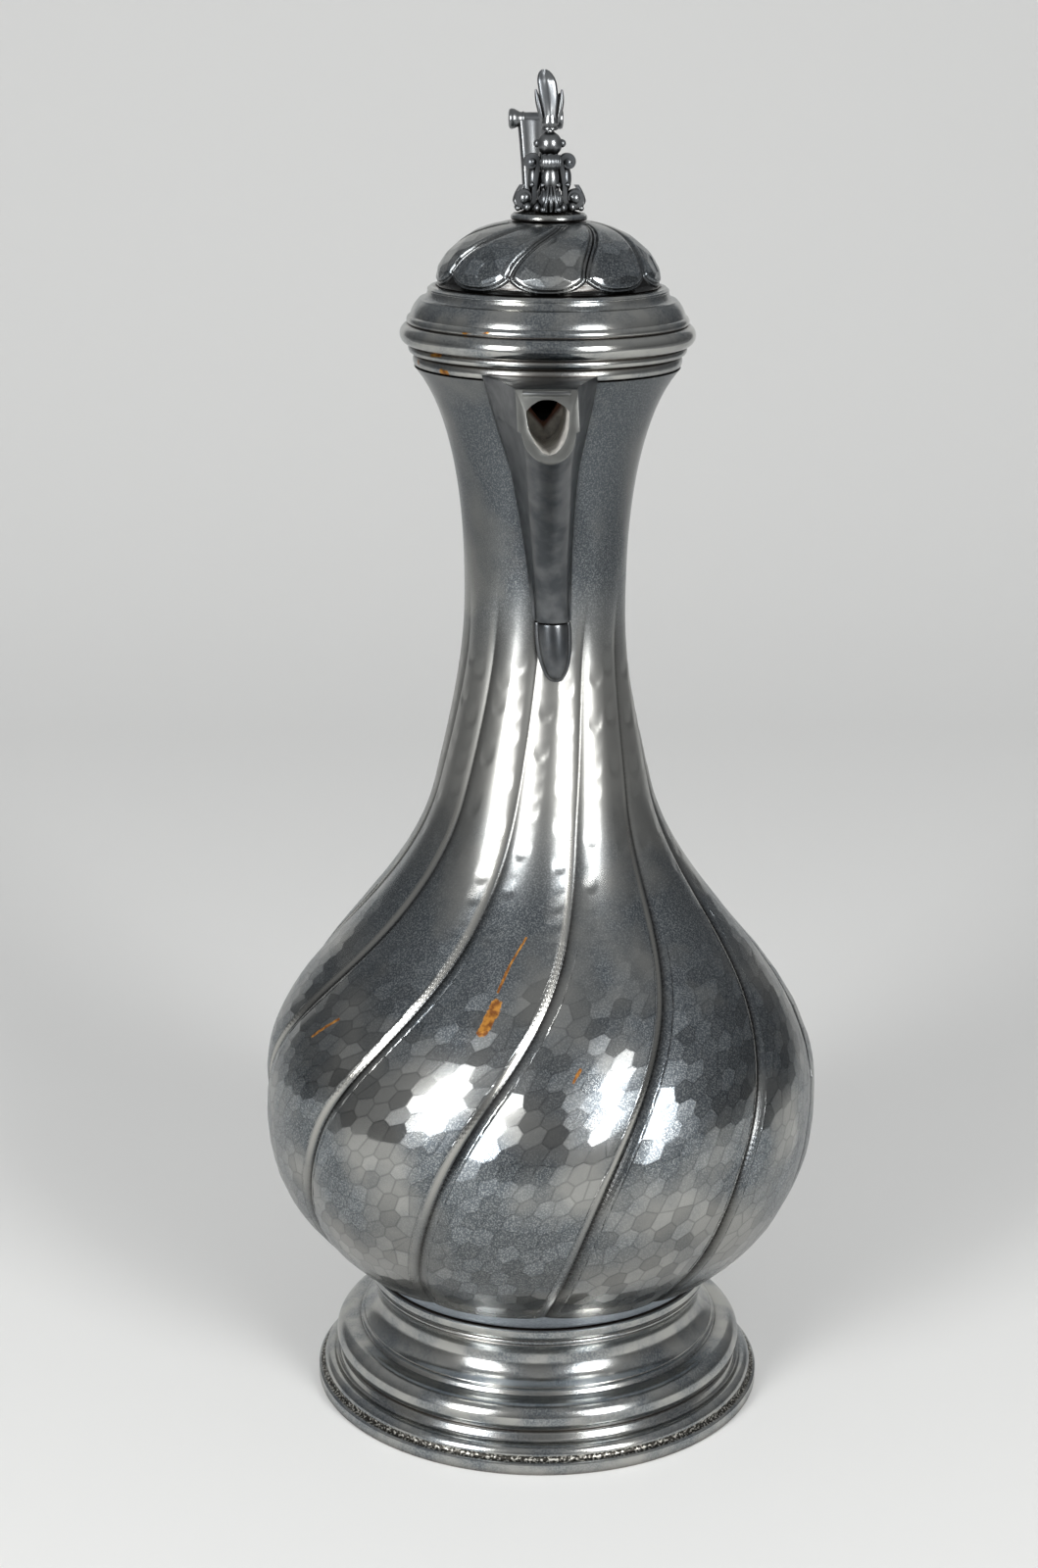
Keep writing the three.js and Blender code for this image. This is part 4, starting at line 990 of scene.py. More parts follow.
# %% Outlines with arcs
def arc(start, end, rise, count=8):
    """Points of an arc after its start. A positive rise swells to the right of the way."""
    (r0, z0), (r1, z1) = start, end
    chord = math.hypot(r1 - r0, z1 - z0)
    radius = (chord ** 2 / 4 + rise ** 2) / (2 * abs(rise))
    half = math.asin(min(1.0, chord / 2 / radius))
    points = []
    for k in range(1, count + 1):
        angle = half * (2 * k / count - 1)
        along = (radius * math.sin(angle) + chord / 2) / chord
        out = math.copysign(radius * (math.cos(angle) - math.cos(half)), rise) / chord
        points.append((r0 + (r1 - r0) * along + (z1 - z0) * out, z0 + (z1 - z0) * along - (r1 - r0) * out))
    return points


def run(*parts):
    """Joins corners and arcs into one outline. An arc is written as (end, rise, count)."""
    points = [parts[0]]
    for part in parts[1:]:
        if isinstance(part[0], tuple):
            points += arc(points[-1], *part)
        else:
            points.append(part)
    return points


# %% Foot
foot = spin_outline("foot_turned", run(
    (61.7, 0), (62, 0.3), (62, 2.9), (61.75, 3.2), (61.2, 3.45), ((60.3, 4.7), -0.45, 5),
    ((57.6, 7.0), 0.75, 8), ((56.3, 7.35), -0.3, 4), (56.2, 7.5), (56.0, 8.8), (55.8, 9.05), (55.2, 9.4),
    ((52.0, 17.0), 3.08, 16), (51.4, 17.15), (50.4, 17.25), (50.25, 17.45), (50.05, 18.2), (49.8, 18.45),
    (49.0, 18.6), (48.9, 18.9), ((45.8, 29.3), -2.5, 14), (45.6, 29.6),
    (43.2, 29.6), (43.2, 28), (42.3, 24), (44.5, 18.5), (50.5, 12.5), (53.6, 8), (58.6, 3), (58.9, 0)), 192)
dress(foot, "jug", ["foot"], "turned_pewter")

# %% [markdown]
# A collar joins the foot to the bulb. It is turned too: a small bead at its lower edge, a fine
# groove, and a band with a gentle swell.

# %% Foot collar
collar = spin_outline("foot_collar_turned", run(
    (45.7, 29.9), (46.2, 30.0), ((46.5, 31.1), 0.35, 6), (46.35, 31.25), (46.4, 31.4), (46.9, 31.55),
    ((47.5, 34.3), 0.35, 8), (47.2, 34.55), (46.6, 34.62), (41.4, 34.6), (43.2, 29.9)), 192)
dress(collar, "jug", ["foot_collar"], "turned_pewter")

# %% [markdown]
# At the brim a thin ring stiffens the mouth, and the lid comes down on it. Its outer edge is
# rounded, and fine tool marks run round it.

# %% Mouth ring
ring = spin_outline("mouth_ring_turned", run(
    (31.0, 284.9), (34.0, 284.9), ((34.0, 287.9), 0.62, 10), (31.2, 287.9), (30.9, 287.6), (30.9, 285.1)), 160)
dress(ring, "jug", ["mouth_ring"], "turned_pewter")

# %% [markdown]
# The lid's rim is turned from one casting: a small roll that rests on the ring, a groove, a larger
# roll, a groove, the broad upper roll that draws in, and a cove up to the platform under the dome.

# %% Lid rim
lid_rim = spin_outline("lid_rim_turned", run(
    (33.9, 288.2), ((35.6, 289.9), 1.0, 8), (35.45, 290.1), (35.6, 290.3), (36.3, 290.4),
    ((36.2, 295.5), 1.75, 14), (35.85, 295.65), (35.85, 295.8), (36.2, 295.95), ((35.3, 297.7), 0.42, 6),
    ((33.2, 301.5), 0.3, 7), (33.0, 301.75), (32.6, 301.8), ((30.9, 303.5), -0.42, 7), (30.8, 303.75),
    ((30.5, 304.5), 0.25, 5), (30.2, 304.85), (29.6, 305.0), (24.0, 305.0),
    (24.0, 303.1), (29.2, 303.1), (34.0, 295.7), (34.3, 291.9), (31.7, 290.1), (30.7, 290.1), (30.7, 288.2)), 160)
dress(lid_rim, "lid", ["lid_rim"], "turned_pewter")
bezel = spin_outline("lid_bezel_turned", run(
    (29.9, 283.5), (30.4, 284.1), (30.4, 290.1), (28.9, 290.1), (28.9, 283.5)), 128)
dress(bezel, "lid", ["lid_bezel"], "turned_pewter")

# %% [markdown]
# The dome of the lid is chased into nine lobes. Each lobe starts at a scalloped edge, and the crease
# between two lobes climbs straight at first and then curls towards the finial. A lobe rises from the
# ground in two steps, which draws its double outline. The piece is spun, and every ring is turned to
# follow the curl, so that a column of the grid runs along each crease.

# %% Dome outline
DOME_LOBES = 9
FIRST_LOBE = -23.8
LOBE_TURN = 37.0
CURL_START, CURL_END = 28.0, 11.0
CURL_POWER = 1.25
LOBE_RISE = (0.5, 0.6)
BEAD = 0.85
SCALLOP_SAG = 3.5
SCALLOP_LOW = 0.25
DOME_COLUMNS = 64 * DOME_LOBES

t = np.linspace(0, 1, 400)[:, None]
crest = ((1 - t) ** 3 * np.array([29.0, 305.3]) + 3 * t * (1 - t) ** 2 * np.array([29.0, 312.0])
         + 3 * t ** 2 * (1 - t) * np.array([22.0, 319.3]) + t ** 3 * np.array([11.0, 321.1]))
crest_arc = np.concatenate([[0], np.cumsum(np.hypot(*np.diff(crest, axis=0).T))])
crest_way = np.gradient(crest, axis=0)
crest_way /= np.linalg.norm(crest_way, axis=1, keepdims=True)


def on_crest(s, sink=0.0):
    """Radius and height at a distance along the dome's outline, sunk below it."""
    r, z, run_r, run_z = (np.interp(s, crest_arc, values)
                          for values in (crest[:, 0], crest[:, 1], crest_way[:, 0], crest_way[:, 1]))
    return r - sink * run_z, z + sink * run_r


def dome_skin(s, share):
    """Points of the lobed skin in the frame of the jug, and how far each lies inside its lobe."""
    r, z = on_crest(s)
    inwards = np.clip((CURL_START - r) / (CURL_START - CURL_END), 0, None)
    lobe = np.floor(share)
    inside = share - lobe
    width = 2 * np.pi * r / DOME_LOBES
    lean = np.arctan(np.radians(LOBE_TURN) * CURL_POWER * inwards ** (CURL_POWER - 1)
                     / (CURL_START - CURL_END) * r)
    to_crease = np.minimum(inside, 1 - inside) * width * np.cos(lean)
    edge = SCALLOP_LOW + SCALLOP_SAG * np.abs(2 * inside - 1) ** 2.7
    slope = SCALLOP_SAG * 2.7 * np.abs(2 * inside - 1) ** 1.7 / (width / 2)
    to_scallop = (s - edge) / np.hypot(1, slope)
    depth = np.minimum(to_crease, to_scallop)
    low, high = LOBE_RISE
    rise = low * smooth_step(depth, -0.1, 0.35) + high * (1 - np.exp(-np.clip(depth - BEAD, 0, None) / 0.45))
    rise -= 0.16 * np.exp(-((depth - BEAD) / 0.18) ** 2)
    fade = 1 - 0.55 * smooth_step(s, 18, 27)
    r, z = on_crest(s, (low + high - rise) * fade)
    r = r + 0.9 * np.clip(1 - s / 1.4, 0, None) ** 2 * smooth_step(-to_scallop, 0, 0.4)
    angle = np.radians(FIRST_LOBE + LOBE_TURN * inwards ** CURL_POWER) + share * 2 * np.pi / DOME_LOBES
    return np.stack([r * np.sin(angle), -r * np.cos(angle), z], axis=-1), depth


def dome_normal(s, share):
    up = dome_skin(s + 0.3, share)[0] - dome_skin(s - 0.3, share)[0]
    along = dome_skin(s, share + 0.01)[0] - dome_skin(s, share - 0.01)[0]
    normal = np.cross(along, up)
    return normal / np.linalg.norm(normal, axis=-1, keepdims=True)


# %% [markdown]
# The lobes are planished too, with a smaller hammer. Each grid point is pressed down to the lowest
# of the flat faces near it, so the faces meet in crisp ridges and stay inside the lobe.

# %% Dome
DOME_BLOW = 4.1
dome_rows = np.array([*np.linspace(0, 6, 28)[:-1], *np.linspace(6, crest_arc[-1], 60)])
chain = [on_crest(s) for s in dome_rows]
dome_inside = [on_crest(s, 2.9) for s in np.linspace(crest_arc[-1] - 2, 2.5, 9)]
dome = spin_outline("lid_dome_hammered", chain + [(10.4, 321.2), (2.3, 321.2), (2.3, 319.0)] + dome_inside
                    + [(26.2, 305.3)], DOME_COLUMNS)
spun = coordinates(dome.data)
radius, z = np.hypot(spun[:, 0], spun[:, 1]), spun[:, 2]
s = np.interp(z - radius, crest[:, 1] - crest[:, 0], crest_arc)
near_r, near_z = on_crest(s)
outer = np.hypot(radius - near_r, z - near_z) < 0.05
share = (np.arctan2(spun[:, 0], -spun[:, 1]) / (2 * np.pi) % 1 * DOME_LOBES)[outer]
s = s[outer]
smooth, depth = dome_skin(s, share)
normals = dome_normal(s, share)
lift = np.zeros(len(s))
shade, ridge = np.zeros(len(s)), np.zeros(len(s))
for lobe in range(DOME_LOBES):
    spots = []
    along, row = 2.6, 0
    while along < 24:
        width = 2 * np.pi * on_crest(along)[0] / DOME_LOBES
        columns = max(2, round((width - 1.5) / DOME_BLOW))
        for column in range(columns + row % 2):
            place = ((column + 0.5 - 0.5 * (row % 2)) / columns - 0.5) * (width - 1.5)
            spots.append((along + rng.uniform(-0.4, 0.4), place / width + 0.5 + rng.uniform(-0.02, 0.02)))
        along += 3.6
        row += 1
    spots = np.array(spots).clip((0.5, 0.06), (30, 0.94))
    turned = spots[:, 1] + lobe
    flat_point = np.mean([dome_skin(spots[:, 0] + a, turned + b)[0]
                          for a, b in ((1.5, 0), (-1.5, 0), (0, 0.075), (0, -0.075))], axis=0)
    flat_normal = np.cross(dome_skin(spots[:, 0], turned + 0.075)[0] - dome_skin(spots[:, 0], turned - 0.075)[0],
                           dome_skin(spots[:, 0] + 1.5, turned)[0] - dome_skin(spots[:, 0] - 1.5, turned)[0])
    flat_normal /= np.linalg.norm(flat_normal, axis=1, keepdims=True)
    flat_normal += rng.normal(0, math.radians(3.0), flat_normal.shape)
    members = np.flatnonzero(np.floor(share) == lobe)
    away = np.hypot(s[members][:, None] - spots[:, 0],
                    (share[members][:, None] - turned) * 2 * np.pi * on_crest(s[members])[0][:, None] / DOME_LOBES)
    reach = np.einsum("mkc,kc->mk", flat_point[None] - smooth[members][:, None], flat_normal)
    reach /= np.einsum("mc,kc->mk", normals[members], flat_normal).clip(0.2)
    reach[away > 4.5] = 9
    low, second = np.sort(reach, axis=1)[:, :2].T
    lift[members] = np.where(low < 8, low, 0).clip(-0.3, 0.12)
    ridge[members] = 1 - smooth_step(second - low, 0, 0.05)
    tint = rng.uniform(-1, 1, len(spots))
    shade[members] = np.where(low < 8, tint[reach.argmin(axis=1)], 0)
hammered_here = smooth_step(depth, BEAD + 0.6, BEAD + 1.4) * (1 - smooth_step(s, 14, 22))
lift *= hammered_here
spun[outer] = smooth + normals * lift[:, None]
set_coordinates(dome.data, spun)
# The crease value paints shade in the lobes' creases, along the bead and below the scallops.
near = np.exp(-np.abs(depth) / 0.3) + 0.8 * np.exp(-np.abs(depth - BEAD) / 0.25) + (depth < 0)
# The ridge value paints shade on the ridges between the facets.
for key, values in (("blow", shade * hammered_here), ("ridge", ridge * hammered_here), ("crease", near.clip(0, 1))):
    full = np.zeros(len(spun))
    full[outer] = values
    dome.data.attributes.new(key, "FLOAT", "POINT").data.foreach_set("value", full)
dress(dome, "lid", ["lid_dome"], "hammered_pewter", smooth_degrees=50)

# %% [markdown]
# The spout is a beak of sheet and casting, soldered to the neck: a keel that grows out of the neck, a
# flat plate on top, and a gutter with a round bottom between. It is made of level sections, cut off
# flat at the mouth, and the shield-shaped opening is taken out with a Boolean. The upper cheeks are
# a separate sheet on the real one, so they stand 0.8 mm proud of the gutter.

# %% Spout sections
SPOUT_LOW, SPOUT_TOP = 222.2, 286.2
MOUTH_FLOOR = 267.9
SPOUT_REACH = 52.0
KEEL_WIDTH, MOUTH_WIDTH = 8.8, 14.9
CHEEK_SEAM = 275.3
CHEEK_STEP = 0.8
junction = np.array([(222, 4.9), (240, 6.0), (250, 7.1), (261, 8.6), (269, 10.7), (277, 12.7), (286.2, 14.7)])


def spout_section(z, tilt=0.0):
    """One level section as points in millimetres, anticlockwise from above."""
    neck = float(radius_at(z)) + 0.15
    share = np.clip((z - SPOUT_LOW) / (MOUTH_FLOOR + MOUTH_WIDTH / 2 - SPOUT_LOW), 0, 1)
    nose = (KEEL_WIDTH + (MOUTH_WIDTH - KEEL_WIDTH) * share ** 2.2) / 2
    nose -= 0 if z > CHEEK_SEAM else CHEEK_STEP * smooth_step(z, 250, 270)
    climb = np.clip((z - SPOUT_LOW) / (MOUTH_FLOOR - SPOUT_LOW), 0, 1)
    tip = 24.9 + (SPOUT_REACH - 24.9) * climb ** 1.55 + np.clip(z - MOUTH_FLOOR, 0, nose)
    root = float(np.interp(z, junction[:, 0], junction[:, 1]))
    root_y = -math.sqrt(neck ** 2 - root ** 2)
    nose_y = min(-(tip - nose), root_y - 0.3)
    half = []
    for u in np.linspace(0, 1, 11):
        x = (1 - u) ** 2 * root + 2 * u * (1 - u) * (nose + 0.35 * (root - nose)) + u * u * nose
        y = (1 - u) ** 2 * root_y + 2 * u * (1 - u) * (root_y + 0.4 * (nose_y - root_y)) + u * u * nose_y
        half.append((x, y))
    for angle in np.radians(np.linspace(9, 90, 10)):
        half.append((nose * math.cos(angle), nose_y - (tip + nose_y) * math.sin(angle)))
    back_angle = math.asin(root / neck)
    back = [(neck * math.sin(a), -neck * math.cos(a)) for a in np.linspace(-back_angle, back_angle, 9)[1:-1]]
    ring = [(-x, y) for x, y in half] + half[::-1][1:] + back[::-1]
    return [(x + askew(z), y, z + tilt * (y + neck)) for x, y in ring]


# %% Spout
spout_heights = [*np.linspace(SPOUT_LOW, CHEEK_SEAM - 0.12, 38), *np.linspace(CHEEK_SEAM + 0.12, SPOUT_TOP - 0.3, 9)]
rings = [spout_section(z) for z in spout_heights] + [spout_section(SPOUT_TOP, tilt=0.035)]
spout = loft_rings("spout_cast", rings)
bpy.ops.object.mode_set(mode="EDIT")
bpy.ops.mesh.select_all(action="SELECT")
bpy.ops.mesh.bisect(plane_co=(0, -SPOUT_REACH * MM, 0), plane_no=(0, -1, 0), use_fill=True, clear_outer=True)
bpy.ops.mesh.select_all(action="SELECT")
bpy.ops.mesh.normals_make_consistent(inside=False)
bpy.ops.object.mode_set(mode="OBJECT")
half_shield = [(0, 269.6), (1.5, 270.2), (2.6, 271.3), (3.4, 272.4), (4.2, 274.0), (4.8, 276.0), (5.1, 278.2)]
half_shield += [(5.25, 280.0), (5.1, 280.5), (3.8, 281.8), (2.2, 282.8), (1.0, 283.15), (0, 283.2)]
shield = [(x, z) for x, z in half_shield] + [(-x, z) for x, z in half_shield[::-1][1:-1]]
shield = [(x + askew(z), -60, z) for x, z in shield]
cut_away(spout, extruded("shield_cutter", shield, (0, 42, 0)))
cove_x = askew(285)
bpy.ops.mesh.primitive_cylinder_add(vertices=20, radius=0.85 * MM, depth=11.6 * MM,
                                    location=(cove_x * MM, -(SPOUT_REACH + 0.3) * MM, 284.75 * MM),
                                    rotation=(0, math.radians(90), 0))
cut_away(spout, bpy.context.active_object)
soften(spout, 0.22)
dress(spout, "jug", ["spout"], "cast_pewter", smooth_degrees=45)

# %% [markdown]
# Below the keel a cast drop hides its end: an egg shape with a narrow border, pressed on the neck.

# %% Drop
def egg(name, half_width, depth, low, high, flat_top):
    """An egg with its point down, against the neck, cut off level at its top."""
    rings = []
    middle = low + 0.6 * (high - low)
    for z in np.linspace(low, flat_top, 26):
        reach = (z - middle) / ((middle - low) if z < middle else (high - middle))
        size = math.sqrt(max(1 - abs(reach) ** (2.2 if reach < 0 else 2.6), 0.0004))
        neck = float(radius_at(z))
        side = half_width * size
        ring = []
        for angle in np.linspace(0, 2 * np.pi, 33)[:-1]:
            x = side * math.cos(angle)
            y = -(neck - 0.4) - (max(math.sin(angle), -0.15) * depth + 0.4) * size
            ring.append((x + askew(z), y, z))
        rings.append(ring)
    return loft_rings(name, rings)


drop = egg("spout_drop_cast", 4.05, 3.7, 206.4, 228, 221.7)
border = egg("border", 4.75, 1.1, 205.9, 228, 221.8)
drop = join_pieces([drop, border])
soften(drop, 0.2)
dress(drop, "jug", ["spout_drop"], "cast_pewter", smooth_degrees=60)

# %% [markdown]
# The handle is a cast bar, oval in section with a low ridge along its back. It leaves the neck under
# the hinge, bends round the grip and ends in a leaf-shaped foot on the bulb. Its middle line is a
# smooth curve through a few points, and oval sections are set square to it.

# %% Smooth paths
def smooth_path(knots, count):
    """Evenly spaced points on a centripetal curve through the knots."""
    p = np.array([2 * np.array(knots[0]) - knots[1], *knots, 2 * np.array(knots[-1]) - knots[-2]], float)
    dense = []
    for i in range(1, len(p) - 2):
        a, b, c, d = p[i - 1:i + 3]
        t0, t1 = 0, math.sqrt(np.linalg.norm(b - a))
        t2 = t1 + math.sqrt(np.linalg.norm(c - b))
        t3 = t2 + math.sqrt(np.linalg.norm(d - c))
        for t in np.linspace(t1, t2, 40, endpoint=False):
            ab = (t1 - t) / (t1 - t0) * a + (t - t0) / (t1 - t0) * b
            bc = (t2 - t) / (t2 - t1) * b + (t - t1) / (t2 - t1) * c
            cd = (t3 - t) / (t3 - t2) * c + (t - t2) / (t3 - t2) * d
            abc = (t2 - t) / (t2 - t0) * ab + (t - t0) / (t2 - t0) * bc
            bcd = (t3 - t) / (t3 - t1) * bc + (t - t1) / (t3 - t1) * cd
            dense.append((t2 - t) / (t2 - t1) * abc + (t - t1) / (t2 - t1) * bcd)
    dense = np.array([*dense, p[-2]])
    length = np.concatenate([[0], np.cumsum(np.linalg.norm(np.diff(dense, axis=0), axis=1))])
    even = np.linspace(0, length[-1], count)
    return np.stack([np.interp(even, length, dense[:, k]) for k in range(dense.shape[1])], axis=1)


def swept(name, path, section):
    """Sweeps a section along a path in a plane of constant x. It gets the share and gives (x, out)."""
    way = np.gradient(path, axis=0)
    way /= np.linalg.norm(way, axis=1, keepdims=True)
    rings = []
    for i, (y, z) in enumerate(path):
        out = (-way[i][1], way[i][0])
        rings.append([(x, y + out[0] * o, z + out[1] * o) for x, o in section(i / (len(path) - 1))])
    return loft_rings(name, rings)


# %% Handle
HINGE_Y, HINGE_Z = 44.0, 290.0
HANDLE_KNOTS = [(26.5, 268.1), (34, 276.1), (44, 280.1), (56.6, 277.3), (68.7, 261.7), (72.1, 240.6), (71, 212.3),
                (65.7, 181.3), (59.6, 157.3), (50.2, 135.9)]


def handle_section(share):
    """Oval with a low ridge on its outer side. It tapers, and spreads at its foot."""
    taper = smooth_step(share, 0.3, 0.95)
    spread = 1 + 0.55 * smooth_step(share, 0.92, 1.0)
    wide = (6.5 - 1.5 * taper) * spread
    thick = (4.5 - 0.8 * taper) * (1 - 0.3 * smooth_step(share, 0.95, 1.0))
    ring = []
    for angle in np.linspace(0, 2 * np.pi, 37)[:-1]:
        ridge = 0.35 * math.exp(-(math.cos(angle) / 0.16) ** 2) * (math.sin(angle) > 0)
        ring.append((wide * math.cos(angle), (thick - 0.45) * math.sin(angle) + ridge))
    return ring


handle = swept("handle_cast", smooth_path(HANDLE_KNOTS, 120), handle_section)
lug_outline = [(HINGE_Y + 4 * math.cos(a), HINGE_Z + 4 * math.sin(a)) for a in np.radians(np.linspace(0, 180, 17))]
lug_outline += [(HINGE_Y - 4, 279.5), (HINGE_Y + 4, 279.5)]
lugs = []
for x in (-7.6, 3.1):
    lug = extruded("lug", [(x, y, z) for y, z in lug_outline], (4.5, 0, 0))
    bpy.ops.mesh.primitive_cylinder_add(vertices=32, radius=1.75 * MM, depth=20 * MM,
                                        location=(0, HINGE_Y * MM, HINGE_Z * MM), rotation=(0, math.radians(90), 0))
    cut_away(lug, bpy.context.active_object)
    soften(lug, 0.35)
    lugs.append(lug)
handle = join_pieces([handle, *lugs])
dress(handle, "jug", ["handle"], "cast_pewter", smooth_degrees=50)

# %% [markdown]
# The hinge has three knuckles and one pin with rounded heads. The lid's arm carries the middle
# knuckle, and above it stands the thumbpiece: a tall waisted stem with a turned roll across its top.

# %% Pin, arm and thumbpiece
def turned_across(name, half_outline, centre, steps):
    """Spins half an outline of (radius, x), mirrored, round an axis along X through a centre."""
    chain = [(x, r) for r, x in half_outline]
    chain = [(-x, r) for x, r in chain[::-1]] + [c for c in chain if c[0] > 0]
    x0, y0, z0 = centre
    count = len(chain)
    piece = new_piece(name, [(x0 + x, y0, z0 + r) for x, r in chain], [(i, i + 1) for i in range(count - 1)], [])
    bpy.ops.object.mode_set(mode="EDIT")
    bpy.ops.mesh.select_all(action="SELECT")
    bpy.ops.mesh.spin(steps=steps, angle=2 * math.pi, center=(x0 * MM, y0 * MM, z0 * MM), axis=(1, 0, 0))
    bpy.ops.mesh.select_all(action="SELECT")
    bpy.ops.mesh.remove_doubles(threshold=0.002 * MM)
    bpy.ops.mesh.normals_make_consistent(inside=False)
    bpy.ops.object.mode_set(mode="OBJECT")
    return piece


pin = turned_across("hinge_pin_turned", [(1.5, 0.01), (1.5, 7.9), (2.4, 7.95), (2.4, 8.5), (2.1, 8.9), (1.2, 9.2),
                                         (0, 9.25)], (0, HINGE_Y, HINGE_Z), 40)
dress(pin, "jug", ["hinge_pin"], "cast_pewter")

arm_outline = [(HINGE_Y + 4 * math.cos(a), HINGE_Z + 4 * math.sin(a)) for a in np.radians(np.linspace(128, 360, 23))]
arm_outline += [(HINGE_Y + 3.0, 293.4), (HINGE_Y + 1.5, 298.5), (36.4, 298.5), (36.6, 296.6), (38.4, 293.2)]
arm = extruded("lid_arm_cast", [(-2.8, y, z) for y, z in arm_outline], (5.6, 0, 0))
bpy.ops.mesh.primitive_cylinder_add(vertices=32, radius=1.75 * MM, depth=20 * MM,
                                    location=(0, HINGE_Y * MM, HINGE_Z * MM), rotation=(0, math.radians(90), 0))
cut_away(arm, bpy.context.active_object)
plate = extruded("plate", [(-4.6, y, z) for y, z in ((36.6, 296.2), (45.5, 294.8), (45.5, 298.6), (34.6, 298.6))],
                 (9.2, 0, 0))
for part in (arm, plate):
    soften(part, 0.35)
arm = join_pieces([arm, plate])
dress(arm, "lid", ["lid_arm"], "cast_pewter")

THUMB_Y, THUMB_FOOT, ROLL_Z = 41.8, 298.95, 344.6
THUMB_LEAN = -1.2


def thumb_stem():
    """Rings of the thumbpiece's stem: wide at its foot, waisted, and dished on its front."""
    rings = []
    for share in np.linspace(0, 1, 36):
        z = THUMB_FOOT + (ROLL_Z - THUMB_FOOT) * share
        wide = 3.7 + 1.3 * share ** 3
        deep = 2.9 - 0.8 * share
        y = THUMB_Y - 1.2 * math.sin(math.pi * share)
        ring = []
        for angle in np.linspace(0, 2 * np.pi, 33)[:-1]:
            c, s = math.cos(angle), math.sin(angle)
            square = 1 / max(abs(c), abs(s)) ** 0.55
            groove = 0.5 * math.exp(-(c / 0.35) ** 2) * (s < 0)
            ring.append((THUMB_LEAN * share + wide * square * c, y + deep * square * s + groove, z))
        rings.append(ring)
    return rings


stem = loft_rings("thumbpiece_cast", thumb_stem())
soften(stem, 0.3)
roll = turned_across("roll", [(1.7, 0.01), (1.7, 3.0), (1.9, 3.2), (1.95, 3.5), (1.75, 3.8), (1.85, 4.4), (2.2, 5.0),
                              (2.6, 5.8), (2.7, 6.5), (2.5, 7.0), (1.9, 7.25), (1.1, 7.3), (0, 7.1)],
                     (THUMB_LEAN, THUMB_Y, ROLL_Z), 48)
thumb = join_pieces([stem, roll])
dress(thumb, "lid", ["thumbpiece"], "cast_pewter", smooth_degrees=40)

# %% [markdown]
# On top of the dome sits a small turned disc with a stud below it, which a nut holds from inside.

# %% Finial disc
disc = spin_outline("finial_disc_turned", run(
    (0, 316.6), (2.0, 316.6), (2.0, 321.5), (9.25, 321.5), ((9.75, 322.1), 0.12, 4), ((9.5, 322.8), 0.1, 4),
    (9.0, 323.2), ((7.3, 323.5), -0.12, 5), ((4.9, 324.1), 0.12, 5), (4.6, 324.1), (0, 324.1)), 96, closed=False)
dress(disc, "lid", ["finial_disc"], "turned_pewter")

# %% [markdown]
# The finial is cast and soldered together from a stem with a ball, four scroll brackets and a bud.
# A bracket is one strap, ribbed along its faces, that curls outwards at its head and its foot. Its
# path is two spirals and the stretch between, and the ribbed section is swept along it.

# %% Small cast parts
def ball(place, radius):
    """A ball at a place in millimetres."""
    bpy.ops.mesh.primitive_uv_sphere_add(segments=24, ring_count=14, radius=radius * MM,
                                         location=[value * MM for value in place])
    piece = bpy.context.active_object
    bpy.ops.object.transform_apply(location=True, rotation=True, scale=True)
    return piece


def spindle(name, rings):
    """A closed skin through level ovals, each written as (x, y, z, half width, half depth)."""
    turn = np.linspace(0, 2 * np.pi, 25)[:-1]
    return loft_rings(name, [[(x + wide * math.cos(a), y + deep * math.sin(a), z) for a in turn]
                             for x, y, z, wide, deep in rings])


# %% Finial stem
stem_outline = [(0, 324.4), (2.6, 324.4), (2.2, 325.6), (1.8, 328), (1.8, 334.5), (1.5, 336.4), (1.2, 337.2)]
stem_outline += [(3.15 * math.cos(a), 340.2 + 3.1 * math.sin(a)) for a in np.radians(np.linspace(-64, 68, 17))]
stem_outline += [(1.1, 343.3), (0, 343.3)]
finial_stem = spin_outline("finial_stem_cast", stem_outline, 48, closed=False)
finial_stem = join_pieces([finial_stem, *(ball((3.05 * math.cos(a), 3.05 * math.sin(a), 340.4), 1.05)
                                          for a in (0, math.pi))])
dress(finial_stem, "lid", ["finial_stem"], "cast_pewter")

# %% Scroll brackets
FOOT_CURL, HEAD_CURL = (6.3, 327.0), (4.6, 335.8)


def spiral(centre, start, end, start_degrees, end_degrees, count):
    """Points of a spiral whose radius runs from start to end."""
    cx, cz = centre
    return [(cx + r * math.cos(a), cz + r * math.sin(a)) for r, a in
            zip(np.linspace(start, end, count), np.radians(np.linspace(start_degrees, end_degrees, count)))]


def strap_section(share):
    """Section of the strap: narrow in the middle, wider at both curls, with three ribs."""
    half = 2.2 + 0.2 * smooth_step(-share, -0.55, -0.35) + 0.2 * smooth_step(share, 0.6, 0.75)
    thick = 0.55 - 0.15 * smooth_step(-share, -0.15, 0) - 0.15 * smooth_step(share, 0.85, 1)
    across = np.linspace(-1, 1, 19)
    ribs = 0.13 * (np.cos(3 * np.pi * across) - 1) * (np.abs(across) < 0.99)
    crown = 0.2 * (1 - across ** 2)
    face = [(half * u, thick + up + rib) for u, up, rib in zip(across, crown, ribs)]
    return [(-x, -o) for x, o in face] + face


strap_path = spiral(FOOT_CURL, 1.2, 2.4, 560, 186, 42)
strap_path += [tuple(point) for point in
               smooth_path([(3.95, 327.5), (3.75, 330.2), (3.35, 332.6), (2.95, 335.1)], 16)[1:-1]]
strap_path += spiral(HEAD_CURL, 1.8, 0.9, 176, -150, 32)
strap_path = np.array([(-r, z) for r, z in strap_path])


